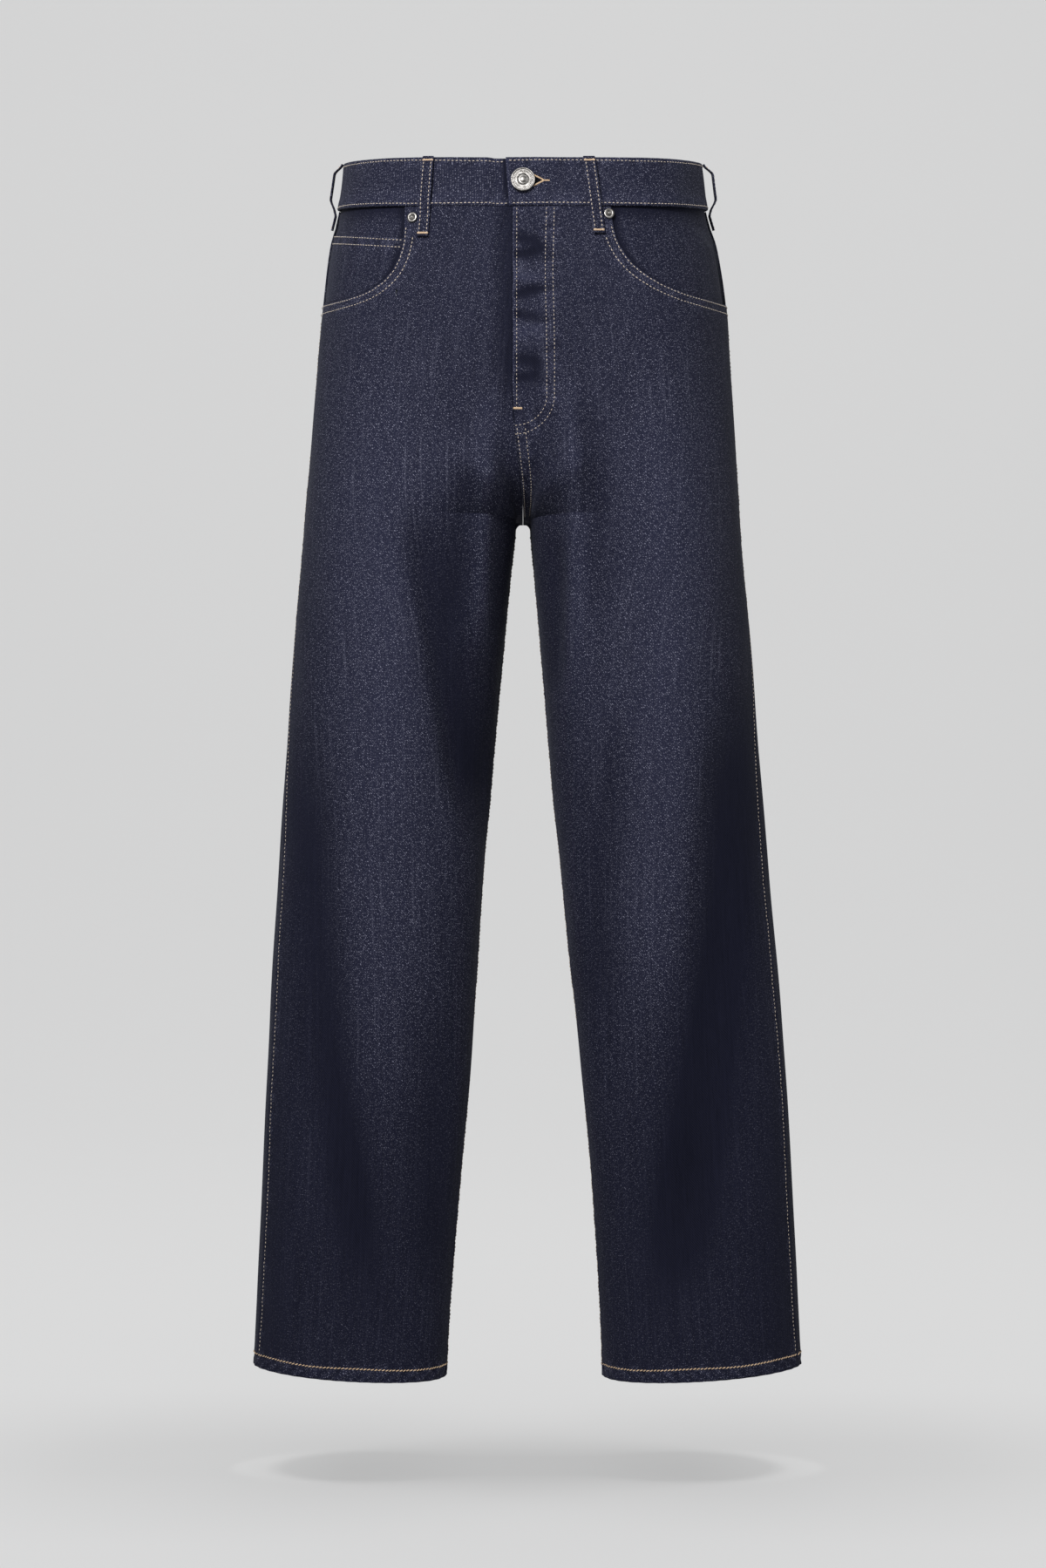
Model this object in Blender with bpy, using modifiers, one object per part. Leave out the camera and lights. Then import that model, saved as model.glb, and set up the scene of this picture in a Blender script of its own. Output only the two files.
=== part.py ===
"""Straight leg jeans, filled out as they hang on a wearer who isn't there.

Every piece is cut and laid the way a maker does it: fronts with curved pocket
mouths, backs with yokes and patch pockets, pocket facings, a coin pocket, a lapped
waistband with its buttonhole, belt loops, turned hems, a shank button and rivets.

Metres, +Z up. The front faces -Y, the wearer's right is -X, and the origin is the
middle of the waist, half way up the waistband at the sides, where a wearer's waist
holds the jeans.

The cloth lies on one shape, the form: a row of measured sections joined smoothly.
A place on the form has three coordinates:
    side   RIGHT or LEFT, as the wearer says it
    along  the way round the section from the centre front, or from the inside of the
           leg, in metres
    level  the height of the section before the waist and the legs are tilted
and a piece lies at a depth from it: 0 is the outside of the front and back panels,
plus is further out.
"""

import math

import bmesh
import bpy
import numpy as np
from mathutils import Vector

RIGHT, LEFT = -1, 1

# ---------------------------------------------------------------- driving dimensions
WAIST_TOP = 0.0172
WAIST_SEAM = -0.0232
CROTCH = -0.2900
HEM = -1.0125
CROTCH_Y = 0.005
FRONT_FORK = -0.222     # where the front seam starts to turn under
BACK_FORK = -0.170      # where the seat seam starts to turn under
FORK_GAP = 0.0065       # half the width of the strip between the legs at the crotch
WAIST_TILT = 0.164      # rise of the waist for each metre towards the back
LEG_TILT = 0.062        # rise of the hem for each metre towards the outside

CLOTH = 0.0012
SEAM_GAP = 0.0003
FACING_DEPTH = -0.0036  # the pocket facing lies this far under the front panel's outside
FACING_DEPTH_AT_WAIST = -0.0021
FACING_CLOTH = 0.0011
WAISTBAND_OUT = 0.0013
WAISTBAND_IN = -0.0015
LAP_DEPTH = -0.0031     # how far the button end of the waistband dives under the other
CENTRE_FRONT = -0.0085  # the fly edge lies this far towards the wearer's right
HEM_TURN = 0.0120

SECTION_COLUMNS = (
    "level", "outer_right", "outer_left", "inner_right", "inner_left", "front", "back",
    "centre_front", "centre_back", "front_at", "back_at", "broad", "round",
)
SECTIONS = (
    # level  outer r  outer l  inner r  inner l  front   back    centre f centre b f at  b at  broad round
    (0.0180, 0.1512, 0.1512, 0.0065, 0.0065, 0.1050, 0.1110, 0.1045, 0.1095, 0.34, 0.36, 0.60, 0.56),
    (-0.0205, 0.1570, 0.1562, 0.0065, 0.0065, 0.1100, 0.1180, 0.1092, 0.1150, 0.38, 0.40, 0.60, 0.56),
    (-0.0580, 0.1655, 0.1665, 0.0065, 0.0065, 0.1135, 0.1260, 0.1122, 0.1200, 0.42, 0.44, 0.60, 0.56),
    (-0.1030, 0.1706, 0.1732, 0.0065, 0.0065, 0.1155, 0.1330, 0.1140, 0.1240, 0.46, 0.47, 0.60, 0.55),
    (-0.1600, 0.1758, 0.1773, 0.0065, 0.0065, 0.1165, 0.1380, 0.1145, 0.1270, 0.48, 0.49, 0.60, 0.54),
    (-0.2250, 0.1806, 0.1812, 0.0065, 0.0065, 0.1155, 0.1380, 0.1125, 0.1265, 0.50, 0.50, 0.60, 0.54),
    (-0.2900, 0.1866, 0.1853, 0.0065, 0.0065, 0.1105, 0.1280, 0.1100, 0.1240, 0.50, 0.50, 0.59, 0.53),
    (-0.3350, 0.1900, 0.1885, 0.0113, 0.0105, 0.1050, 0.1150, 0.1100, 0.1200, 0.50, 0.50, 0.58, 0.52),
    (-0.4000, 0.1952, 0.1944, 0.0171, 0.0157, 0.0960, 0.1000, 0.1100, 0.1200, 0.50, 0.50, 0.58, 0.50),
    (-0.5100, 0.2040, 0.2040, 0.0274, 0.0252, 0.0830, 0.0830, 0.1100, 0.1200, 0.50, 0.50, 0.58, 0.48),
    (-0.6200, 0.2108, 0.2127, 0.0365, 0.0361, 0.0710, 0.0710, 0.1100, 0.1200, 0.50, 0.50, 0.58, 0.47),
    (-0.7600, 0.2183, 0.2242, 0.0454, 0.0507, 0.0600, 0.0640, 0.1100, 0.1200, 0.50, 0.50, 0.58, 0.46),
    (-0.9000, 0.2250, 0.2324, 0.0581, 0.0626, 0.0540, 0.0610, 0.1100, 0.1200, 0.50, 0.50, 0.58, 0.46),
    (-1.0125, 0.2302, 0.2377, 0.0663, 0.0687, 0.0515, 0.0600, 0.1100, 0.1200, 0.50, 0.50, 0.58, 0.46),
)

FOLD_COLUMNS = ("side", "face", "x_top", "x_middle", "x_low", "z_top", "z_low", "in_width", "out_width", "height")
FOLDS = (
    # side  face   x top   middle   low    z top   z low   inner   outer   height: plus is a ridge
    (RIGHT, "front", 0.022, 0.033, 0.034, -0.170, -0.420, 0.007, 0.007, 0.0032),
    (RIGHT, "front", 0.040, 0.046, 0.050, -0.235, -0.360, 0.009, 0.010, -0.0026),
    (RIGHT, "front", 0.090, 0.064, 0.036, -0.270, -0.560, 0.022, 0.011, -0.0060),
    (RIGHT, "front", 0.180, 0.160, 0.122, -0.470, -0.985, 0.014, 0.016, -0.0034),
    (RIGHT, "front", 0.066, 0.073, 0.078, -0.680, -0.960, 0.012, 0.014, -0.0016),
    (LEFT, "front", 0.032, 0.044, 0.035, -0.160, -0.450, 0.007, 0.007, 0.0032),
    (LEFT, "front", 0.022, 0.028, 0.027, -0.290, -0.440, 0.006, 0.006, -0.0026),
    (LEFT, "front", 0.050, 0.057, 0.056, -0.190, -0.370, 0.008, 0.012, -0.0024),
    (LEFT, "front", 0.112, 0.120, 0.096, -0.180, -0.740, 0.020, 0.020, 0.0034),
    (LEFT, "front", 0.083, 0.064, 0.068, -0.440, -0.740, 0.013, 0.013, -0.0026),
    (LEFT, "front", 0.174, 0.155, 0.108, -0.450, -0.995, 0.020, 0.022, -0.0060),
    (RIGHT, "back", 0.024, 0.040, 0.048, -0.250, -0.470, 0.009, 0.010, -0.0030),
    (RIGHT, "back", 0.095, 0.080, 0.060, -0.300, -0.590, 0.016, 0.018, -0.0044),
    (RIGHT, "back", 0.150, 0.135, 0.150, -0.520, -0.930, 0.018, 0.016, -0.0036),
    (LEFT, "back", 0.026, 0.044, 0.046, -0.245, -0.440, 0.009, 0.011, -0.0030),
    (LEFT, "back", 0.105, 0.086, 0.070, -0.310, -0.620, 0.017, 0.016, -0.0046),
    (LEFT, "back", 0.168, 0.148, 0.128, -0.500, -0.960, 0.017, 0.020, -0.0038),
)

OUTSEAM_COLUMNS = ("level", "forward")
OUTSEAM = (
    # level   how far the outseam lies in front of the widest point
    (0.0180, -0.006),
    (-0.1030, -0.004),
    (-0.2800, -0.001),
    (-0.4000, 0.016),
    (-0.6200, 0.022),
    (-0.9000, 0.020),
    (-1.0125, 0.016),
)
INSEAM_FORWARD = 0.011  # the inseam lies this far in front of the innermost point

YOKE_AT_SIDE = -0.048
YOKE_AT_BACK = -0.088
COIN_TOP = -0.044
LAP_EDGE_LOW = -0.0114
LAP_EDGE_TOP = -0.0142
LAP_START = -0.030      # the button end starts to dive this far before the centre front
LAP_REACH = 0.026
LOOP_WIDTH = 0.0093
LOOP_CLOTH = 0.0015
BACK_POCKET_TOP = -0.110
BACK_POCKET_LOW = -0.250
BACK_POCKET_OUT = 0.0930
BUTTON_ACROSS = 0.0200
BUTTON_LEVEL = -0.0025
SHANK_ACROSS = 0.0060
BUTTONHOLE_LONG = 0.0215
BUTTONHOLE_HIGH = 0.0072
RIVET_ACROSS = 0.0086

LOOP_TOP = 0.0168
FRONT_LOOP_RISE = 0.0014
SIDE_LOOP_LOW = -0.0400
SIDE_LOOP_BACK = 0.004
SIDE_LOOP_RISE = {RIGHT: 0.0042, LEFT: 0.0056}
FRONT_LOOP_COLUMNS = ("x_top", "x_low", "low")
FRONT_LOOPS = {
    RIGHT: dict(x_top=0.0766, x_low=0.0816, low=-0.0488),
    LEFT: dict(x_top=0.0537, x_low=0.0623, low=-0.0459),
}
RIVET_COLUMNS = ("x", "level")
RIVETS = {
    RIGHT: dict(x=0.0902, level=-0.0324),
    LEFT: dict(x=0.0700, level=-0.0292),
}

POCKET_CORNER = -0.1055     # level of the pocket mouth at the outseam
POCKET_COLUMNS = ("side", "from_centre", "squareness")
POCKETS = {
    RIGHT: dict(from_centre=0.0965, squareness=2.75),
    LEFT: dict(from_centre=0.0720, squareness=2.10),
}

# ---------------------------------------------------------------- materials
INDIGO = ("indigo_denim", (0.020, 0.024, 0.045), 0.85, 0.0)
INDIGO_BACK = ("denim_inside", (0.055, 0.065, 0.095), 0.9, 0.0)
NICKEL = ("nickel", (0.62, 0.60, 0.57), 0.35, 1.0)

SAMPLES = 12  # points in each arc of a section when its length is measured


def clear_scene():
    """Removes the start-up objects, so the file holds only the jeans."""
    for thing in list(bpy.data.objects):
        bpy.data.objects.remove(thing)


def material(name, colour, roughness, metallic):
    """A Principled material, made once."""
    made = bpy.data.materials.get(name)
    if made is None:
        made = bpy.data.materials.new(name)
        made.use_nodes = True
        shader = made.node_tree.nodes["Principled BSDF"]
        shader.inputs["Base Color"].default_value = (*colour, 1.0)
        shader.inputs["Roughness"].default_value = roughness
        shader.inputs["Metallic"].default_value = metallic
    return made


# ---------------------------------------------------------------- the form
def smooth(share):
    """0 below 0, 1 above 1, with soft ends."""
    share = np.clip(share, 0.0, 1.0)
    return share * share * (3.0 - 2.0 * share)


def smooth_rows(rows):
    """A function of level that passes through every row, and never beyond its neighbours."""
    rows = np.array(sorted(rows), float)
    at, values = rows[:, 0], rows[:, 1:]
    step = np.diff(at)[:, None]
    slope = np.diff(values, axis=0) / step
    before, after = 2 * step[1:] + step[:-1], step[1:] + 2 * step[:-1]
    turning = slope[:-1] * slope[1:] <= 0
    safe = np.where(turning, 1.0, slope[:-1]), np.where(turning, 1.0, slope[1:])
    middle = np.where(turning, 0.0, (before + after) / (before / safe[0] + after / safe[1]))
    slopes = np.vstack([slope[:1], middle, slope[-1:]])

    def read(level):
        level = np.clip(np.asarray(level, float), at[0], at[-1])
        i = np.clip(np.searchsorted(at, level) - 1, 0, len(at) - 2)
        width = (at[i + 1] - at[i])[:, None]
        t = (level - at[i])[:, None] / width
        return (
            values[i] * (1 + 2 * t) * (1 - t) ** 2
            + slopes[i] * width * t * (1 - t) ** 2
            + values[i + 1] * t * t * (3 - 2 * t)
            + slopes[i + 1] * width * t * t * (t - 1)
        )

    return read


read_section = smooth_rows(SECTIONS)
read_outseam = smooth_rows(OUTSEAM)


def mix(a, b, share):
    """a where share is 0 and b where it is 1."""
    return a + (b - a) * share


def section_arcs(side, level):
    """The six Bezier arcs of a half section, centre front to centre back, as an array of
    levels x arcs x four points x (out from the middle, back)."""
    column = dict(zip(SECTION_COLUMNS[1:], read_section(level).T))
    name = "left" if side == LEFT else "right"
    outer = column["outer_" + name]
    opening = np.clip((CROTCH - level) / FORK_GAP, 0, 1)
    inside = column["inner_" + name] * np.sqrt(1 - (1 - opening) ** 2)
    valley = np.maximum(column["inner_" + name], FORK_GAP)
    half = []
    for face, fork_level, centre, sign in (("front", FRONT_FORK, "centre_front", -1), ("back", BACK_FORK, "centre_back", 1)):
        fork = np.clip((fork_level - level) / (fork_level - CROTCH), 0, 1)
        turn = smooth(fork) * math.pi / 2
        depth = sign * column[face]
        start_y = CROTCH_Y + (sign * column[centre] - CROTCH_Y) * np.sqrt(1 - fork**2.2)
        base = valley * smooth(fork)
        peak_x = base + (outer - base) * column[face + "_at"]
        start = np.stack([inside, start_y], -1)
        wall = mix(0.30, 0.10, smooth((CROTCH - level) / 0.14))
        centre_share = (sign * column[centre] - CROTCH_Y) / (depth - CROTCH_Y)
        shoulder = np.stack([
            mix(0.35 * peak_x, valley, smooth(fork)),
            CROTCH_Y + (depth - CROTCH_Y) * mix((1 + centre_share) / 2, wall, fork**4),
        ], -1)
        peak = np.stack([peak_x, depth], -1)
        side_point = np.stack([outer, np.zeros_like(outer)], -1)
        start_turn = np.stack([np.cos(opening * math.pi / 2), sign * np.sin(opening * math.pi / 2)], -1)
        shoulder_turn = np.stack([np.cos(turn), sign * np.sin(turn)], -1)
        flat = np.stack([np.ones_like(outer), np.zeros_like(outer)], -1)
        upright = np.stack([np.zeros_like(outer), np.full_like(outer, -sign)], -1)
        even = np.full_like(outer, 0.55)
        half.append([
            arc(start, start_turn, even, shoulder, shoulder_turn, even),
            arc(shoulder, shoulder_turn, even, peak, flat, column["broad"]),
            arc(peak, flat, column["broad"], side_point, upright, column["round"]),
        ])
    front, back = half
    return np.stack(front + [part[:, ::-1] for part in reversed(back)], axis=1)


def arc(a, a_way, a_reach, b, b_way, b_reach):
    """The four points of Bezier arcs from a, leaving along a_way, to b, arriving along b_way."""
    span = np.abs(b - a)
    a_handle = a_reach * (span * np.abs(a_way)).sum(-1)
    b_handle = b_reach * (span * np.abs(b_way)).sum(-1)
    return np.stack([a, a + a_way * a_handle[:, None], b - b_way * b_handle[:, None], b], axis=1)


def bezier(points, t):
    """A place and a direction on each Bezier arc at t."""
    a, b, c, d = (points[..., i, :] for i in range(4))
    t = t[..., None]
    place = a * (1 - t) ** 3 + 3 * b * t * (1 - t) ** 2 + 3 * c * t * t * (1 - t) + d * t**3
    way = (b - a) * (1 - t) ** 2 + 2 * (c - b) * t * (1 - t) + (d - c) * t * t
    return place, way


def measured(side, level):
    """The arcs at each level with the distance from the centre front at every sample."""
    arcs = section_arcs(side, level)
    t = np.linspace(0, 1, SAMPLES + 1)
    places, _ = bezier(arcs[:, :, None], np.broadcast_to(t, arcs.shape[:2] + t.shape))
    steps = np.linalg.norm(np.diff(places, axis=2), axis=-1).reshape(len(level), -1)
    run = np.concatenate([np.zeros((len(level), 1)), np.cumsum(steps, axis=1)], axis=1)
    return arcs, run


def lengths(side, level):
    """The way round from the centre front to the widest point, and to the centre back."""
    _, run = measured(side, np.atleast_1d(np.asarray(level, float)))
    return run[:, 3 * SAMPLES], run[:, -1]


def outseam(side, level):
    """Where the outseam lies along the section."""
    level = np.atleast_1d(np.asarray(level, float))
    return lengths(side, level)[0] - read_outseam(level)[:, 0]


def inseam(level):
    """Where the inseam or the fly edge lies along the section."""
    level = np.atleast_1d(np.asarray(level, float))
    return INSEAM_FORWARD * smooth((CROTCH - level) / 0.09)


def fold_height(side, face_share, x, z):
    """How far the folds push the cloth out at each point of one face."""
    total = np.zeros_like(x)
    for row in FOLDS:
        fold = dict(zip(FOLD_COLUMNS, row))
        if fold["side"] != side:
            continue
        share = face_share if fold["face"] == "front" else -face_share
        t = (fold["z_top"] - z) / (fold["z_top"] - fold["z_low"])
        path = (
            fold["x_top"] * 2 * (t - 0.5) * (t - 1)
            + fold["x_middle"] * 4 * t * (1 - t)
            + fold["x_low"] * 2 * t * (t - 0.5)
        )
        away = x - path
        width = np.where(away < 0, fold["in_width"], fold["out_width"])
        ends = smooth(t / 0.22) * smooth((1 - t) / 0.3)
        total += fold["height"] * ends * np.exp(-0.5 * (away / width) ** 2) * smooth(share / 0.35)
    return total


def skin(side, along, level):
    """The outside of the cloth, as points in the row frame. On the body along may run on
    past the centre back or the centre front; on a leg it may run on past the inside."""
    along, level = np.broadcast_arrays(np.asarray(along, float), np.asarray(level, float))
    shape = along.shape
    along, level = along.ravel(), level.ravel()
    half = {one: lengths(one, level)[1] for one in (RIGHT, LEFT)}
    body = level > CROTCH
    along = np.mod(along, np.where(body, half[LEFT] + half[RIGHT], half[side]))
    over = body & (along > half[side])
    along = np.where(over, half[LEFT] + half[RIGHT] - along, along)
    out = np.empty((along.size, 3))
    for one in (RIGHT, LEFT):
        chosen = over if one != side else ~over
        if chosen.any():
            out[chosen] = half_skin(one, along[chosen], level[chosen])
    return out.reshape(*shape, 3)


def half_skin(side, along, level):
    """The same for points that all lie on one side."""
    arcs, run = measured(side, level)
    along = np.minimum(along, run[:, -1] - 1e-9)
    i = np.clip((run <= along[:, None]).sum(1) - 1, 0, run.shape[1] - 2)
    rows = np.arange(len(level))
    local = (along - run[rows, i]) / np.maximum(run[rows, i + 1] - run[rows, i], 1e-12)
    place, way = bezier(arcs[rows, i // SAMPLES], (i % SAMPLES + local) / SAMPLES)
    way /= np.maximum(np.linalg.norm(way, axis=-1, keepdims=True), 1e-12)
    outward = np.stack([way[:, 1], -way[:, 0]], -1)
    middle = place[:, 0] - read_middle(side, level)
    waist = WAIST_TILT * smooth((level - (-0.20)) / 0.17)
    leg = LEG_TILT * smooth((-0.42 - level) / 0.5)
    z = level + waist * place[:, 1] + leg * middle
    place = place + outward * fold_height(side, -outward[:, 1], place[:, 0], z)[:, None]
    return np.stack([side * place[:, 0], place[:, 1], z], -1)


def read_middle(side, level):
    """The middle of the leg, out from the middle of the body."""
    column = dict(zip(SECTION_COLUMNS[1:], read_section(level).T))
    name = "left" if side == LEFT else "right"
    return (column["outer_" + name] + column["inner_" + name]) / 2


def wrap(side, along, level, depth):
    """Points laid on the form at a depth from the outside of the cloth."""
    step = 0.0008
    along, level, depth = np.broadcast_arrays(along, level, depth)
    here = skin(side, along, level)
    round_way = skin(side, along + step, level) - skin(side, along - step, level)
    up_way = skin(side, along, level + step) - skin(side, along, level - step)
    normal = np.cross(round_way, up_way) * side
    normal /= np.maximum(np.linalg.norm(normal, axis=-1, keepdims=True), 1e-12)
    return here + normal * np.asarray(depth)[..., None]


# ---------------------------------------------------------------- making pieces
def finish(name, mesh, finish_of, collection, smooth_faces=True):
    """An object for a mesh, with its material, in the collection."""
    thing = bpy.data.objects.new(name, mesh)
    mesh.materials.append(material(*finish_of))
    if smooth_faces:
        mesh.shade_smooth()
        mesh.set_sharp_from_angle(angle=math.radians(50))
    collection.objects.link(thing)
    return thing


def cloth_piece(name, outer, inner, collection, finish_of=INDIGO, ring=False):
    """A closed wall of cloth between two grids of points, rows x columns x 3.

    With ring, the last column is the first one again and the wall has no side edges."""
    rows, columns = outer.shape[:2]
    mesh_data = bmesh.new()
    bmesh.ops.create_grid(mesh_data, x_segments=columns - 1, y_segments=rows - 1, size=0.5)
    number = mesh_data.verts.layers.int.new("number")
    mesh_data.verts.ensure_lookup_table()
    flat_outer, flat_inner = outer.reshape(-1, 3), inner.reshape(-1, 3)
    for i, vert in enumerate(mesh_data.verts):
        vert[number] = i
        vert.co = flat_outer[i]
    if ring:
        bmesh.ops.remove_doubles(mesh_data, verts=mesh_data.verts[:], dist=1e-6)
    grown = bmesh.ops.extrude_face_region(mesh_data, geom=mesh_data.faces[:], use_keep_orig=True)
    for part in grown["geom"]:
        if isinstance(part, bmesh.types.BMVert):
            part.co = flat_inner[part[number]]
    bmesh.ops.recalc_face_normals(mesh_data, faces=mesh_data.faces[:])
    mesh = bpy.data.meshes.new(name)
    mesh_data.to_mesh(mesh)
    mesh_data.free()
    return finish(name, mesh, finish_of, collection)


def laid(name, side, along, level, depth, thickness, collection, finish_of=INDIGO, ring=False):
    """A piece of cloth laid on the form: its outside is at depth, its inside one thickness under it."""
    outer = wrap(side, along, level, depth)
    inner = wrap(side, along, level, np.asarray(depth) - thickness)
    return cloth_piece(name, outer, inner, collection, finish_of, ring)


def turned(name, profile, place, facing, collection, finish_of=NICKEL, steps=24):
    """A turned piece: its profile is (radius, height) from the outer edge's top down to the axis."""
    curve_mesh = bpy.data.meshes.new(name)
    curve_mesh.from_pydata([(r, 0, h) for r, h in reversed(profile)], [(i, i + 1) for i in range(len(profile) - 1)], [])
    thing = finish(name, curve_mesh, finish_of, collection, smooth_faces=False)
    screw = thing.modifiers.new("turn", "SCREW")
    screw.axis = "Z"
    screw.steps = screw.render_steps = steps
    screw.use_merge_vertices = True
    screw.merge_threshold = 1e-5
    screw.use_smooth_shade = True
    thing.location = place
    thing.rotation_euler = facing.to_track_quat("Z", "Y").to_euler()
    return thing


# ---------------------------------------------------------------- seam lines
def spread(start, end, count, bunch=0.0):
    """Even steps from start to end for each level, closer together near the end with bunch."""
    t = np.linspace(0, 1, count)
    t = t + bunch * np.sin(math.pi * t) / math.pi
    return np.asarray(start)[:, None] + (np.asarray(end) - np.asarray(start))[:, None] * t


def centre_front(side, level):
    """The fly edge and the front seam, as along on one side."""
    level = np.asarray(level, float)
    edge = CENTRE_FRONT * (1 - smooth((-0.19 - level) / 0.10))
    at_crotch = 0.0015 * np.clip(1 - np.abs(level - CROTCH) / FORK_GAP, 0, 1)
    return side * edge + SEAM_GAP / 2 + at_crotch + inseam(level)


def centre_back(side, level):
    """The seat seam and the back of the inseam, as along on one side."""
    level = np.asarray(level, float)
    at_crotch = 0.0015 * np.clip(1 - np.abs(level - CROTCH) / FORK_GAP, 0, 1)
    return lengths(side, level)[1] - SEAM_GAP / 2 - at_crotch + inseam(level)


def along_at(side, x, level):
    """How far round the front of the section a place x out from the middle is."""
    level = np.atleast_1d(np.asarray(level, float))
    arcs, run = measured(side, level)
    t = np.linspace(0, 1, SAMPLES + 1)
    places, _ = bezier(arcs[:, :3, None], np.broadcast_to(t, (len(level), 3) + t.shape))
    distance = np.concatenate([run[:, :1] * 0, run[:, 1:3 * SAMPLES + 1]], axis=1)
    flat = np.concatenate([places[:, 0, :1, 0], places[:, :, 1:, 0].reshape(len(level), -1)], axis=1)
    x = np.broadcast_to(x, level.shape)
    return np.array([np.interp(one, f, d) for one, f, d in zip(x, flat, distance)])


def pocket_mouth(side, angles):
    """Levels and places along the pocket mouth, from the waist (0) to the outseam (90 degrees)."""
    shape = POCKETS[side]
    power = 2.0 / shape["squareness"]
    turn = np.radians(angles)
    level = WAIST_SEAM + (POCKET_CORNER - WAIST_SEAM) * np.sin(turn) ** power
    edge = outseam(side, level)
    out_x = np.abs(skin(side, edge, level)[:, 0])
    x = out_x - (out_x - shape["from_centre"]) * np.clip(np.cos(turn), 0, 1) ** power
    return level, np.minimum(along_at(side, x, level), edge)


FRONT_COLUMNS, BACK_COLUMNS = 13, 10
LEG_LEVELS = np.array([
    HEM, -0.97, -0.92, -0.86, -0.80, -0.74, -0.68, -0.62, -0.56, -0.50, -0.45, -0.405, -0.37,
    -0.34, -0.316, CROTCH - FORK_GAP, CROTCH, -0.284, -0.272, -0.256, -0.235, -0.21, -0.183,
    -0.155, -0.128,
])


def front_reach(side, level):
    """The width of a front panel at each level."""
    return outseam(side, level) - SEAM_GAP / 2 - centre_front(side, level)


def back_reach(side, level):
    """The width of a back panel at each level."""
    return centre_back(side, level) - outseam(side, level) - SEAM_GAP / 2


def spaced(reach, side, share, level):
    """Distances from the outseam: even over most of a panel, with the sudden change of width
    at the fork taken up beside the fork."""
    width = reach(side, level)
    low, high = reach(side, np.array([CROTCH - 0.045, CROTCH + 0.055]))
    steady = low + (high - low) * (level - CROTCH + 0.045) / 0.10
    steady = np.where(np.abs(level - CROTCH - 0.005) < 0.05, steady, width)
    return share * steady + (width - steady) * share**5


def front(side, name, collection):
    """A front panel, from the fly to the outseam, with its top cut down to the pocket mouth."""
    mouth_level, mouth_along = pocket_mouth(side, np.array([0.0, 20, 42, 60, 74, 84, 88, 89.5, 90]))
    start, edge = centre_front(side, mouth_level), outseam(side, mouth_level) - SEAM_GAP / 2
    mouth_share = (mouth_along - start) / (edge - start)
    mouth_share[-1] = 1.0
    top_share = np.concatenate([np.array([0, 0.28, 0.55, 0.79]) * mouth_share[0], mouth_share])
    top_level = np.concatenate([np.full(4, mouth_level[0]), mouth_level])
    top_level = np.minimum(top_level, WAIST_SEAM - SEAM_GAP / 2)
    rise = np.linspace(0, 1, 7)[1:, None]
    level = np.concatenate([LEG_LEVELS[:, None] + 0 * top_level, mix(LEG_LEVELS[-1], top_level, rise)])
    even = np.linspace(0, 1, len(top_share))
    share = mix(top_share, even, smooth((LEG_LEVELS[-1] - level) / 0.16))
    flat = level.ravel()
    along = outseam(side, flat) - SEAM_GAP / 2 - spaced(front_reach, side, 1 - share.ravel(), flat)
    return laid(name, side, along.reshape(level.shape), level, 0.0, CLOTH, collection)


def between(side, share, level):
    """Along for a share of the way from the outseam to the seat seam at each point's own level."""
    flat, share = np.asarray(level, float).ravel(), np.asarray(share, float).ravel()
    along = outseam(side, flat) + SEAM_GAP / 2 + spaced(back_reach, side, share, flat)
    return along.reshape(np.shape(level))


def back(side, name, collection):
    """A back panel, from the outseam to the seat seam, up to the yoke."""
    levels = np.concatenate([LEG_LEVELS, [-0.106, -0.086, -0.067, YOKE_AT_SIDE]])
    share = np.linspace(0, 1, BACK_COLUMNS)[None, :] + 0 * levels[:, None]
    lift = smooth((levels + 0.22) / (YOKE_AT_SIDE + 0.22))[:, None]
    level = levels[:, None] + (mix(YOKE_AT_SIDE, YOKE_AT_BACK, share) - YOKE_AT_SIDE) * lift
    level[-1] -= SEAM_GAP / 2
    return laid(name, side, between(side, share, level), level, 0.0, CLOTH, collection)


def yoke(side, name, collection):
    """A yoke, between the back panel and the waistband."""
    share = np.linspace(0, 1, BACK_COLUMNS)[None, :] + np.zeros((4, 1))
    low = mix(YOKE_AT_SIDE, YOKE_AT_BACK, share) + SEAM_GAP / 2
    level = mix(low, WAIST_SEAM - SEAM_GAP / 2, np.linspace(0, 1, 4)[:, None])
    return laid(name, side, between(side, share, level), level, 0.0, CLOTH, collection)


def mouth_at(side, level):
    """Where the pocket mouth lies along the section at each level."""
    share = np.clip((WAIST_SEAM - level) / (WAIST_SEAM - POCKET_CORNER), 0, 1)
    angle = np.degrees(np.arcsin(share ** (POCKETS[side]["squareness"] / 2)))
    return np.array([pocket_mouth(side, np.array([one]))[1][0] for one in angle])


def facing_grid(side):
    """The grid that the facing and the coin pocket share."""
    level = np.concatenate([np.linspace(POCKET_CORNER - 0.014, COIN_TOP, 6),
                            np.linspace(COIN_TOP + 0.012, WAIST_SEAM - SEAM_GAP / 2, 3)])
    inner = mouth_at(side, np.maximum(level, POCKET_CORNER + 0.010)) - 0.016
    along = spread(inner, outseam(side, level) + 0.005, 12)
    return along, level[:, None] + 0 * along


def facing(side, name, collection):
    """The pocket facing that shows inside the pocket mouth, sewn in at the waist and outseam."""
    along, level = facing_grid(side)
    depth = mix(FACING_DEPTH, FACING_DEPTH_AT_WAIST, smooth((level - COIN_TOP - 0.004) / 0.014))
    return laid(name, side, along, level, depth, FACING_CLOTH, collection)


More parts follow.
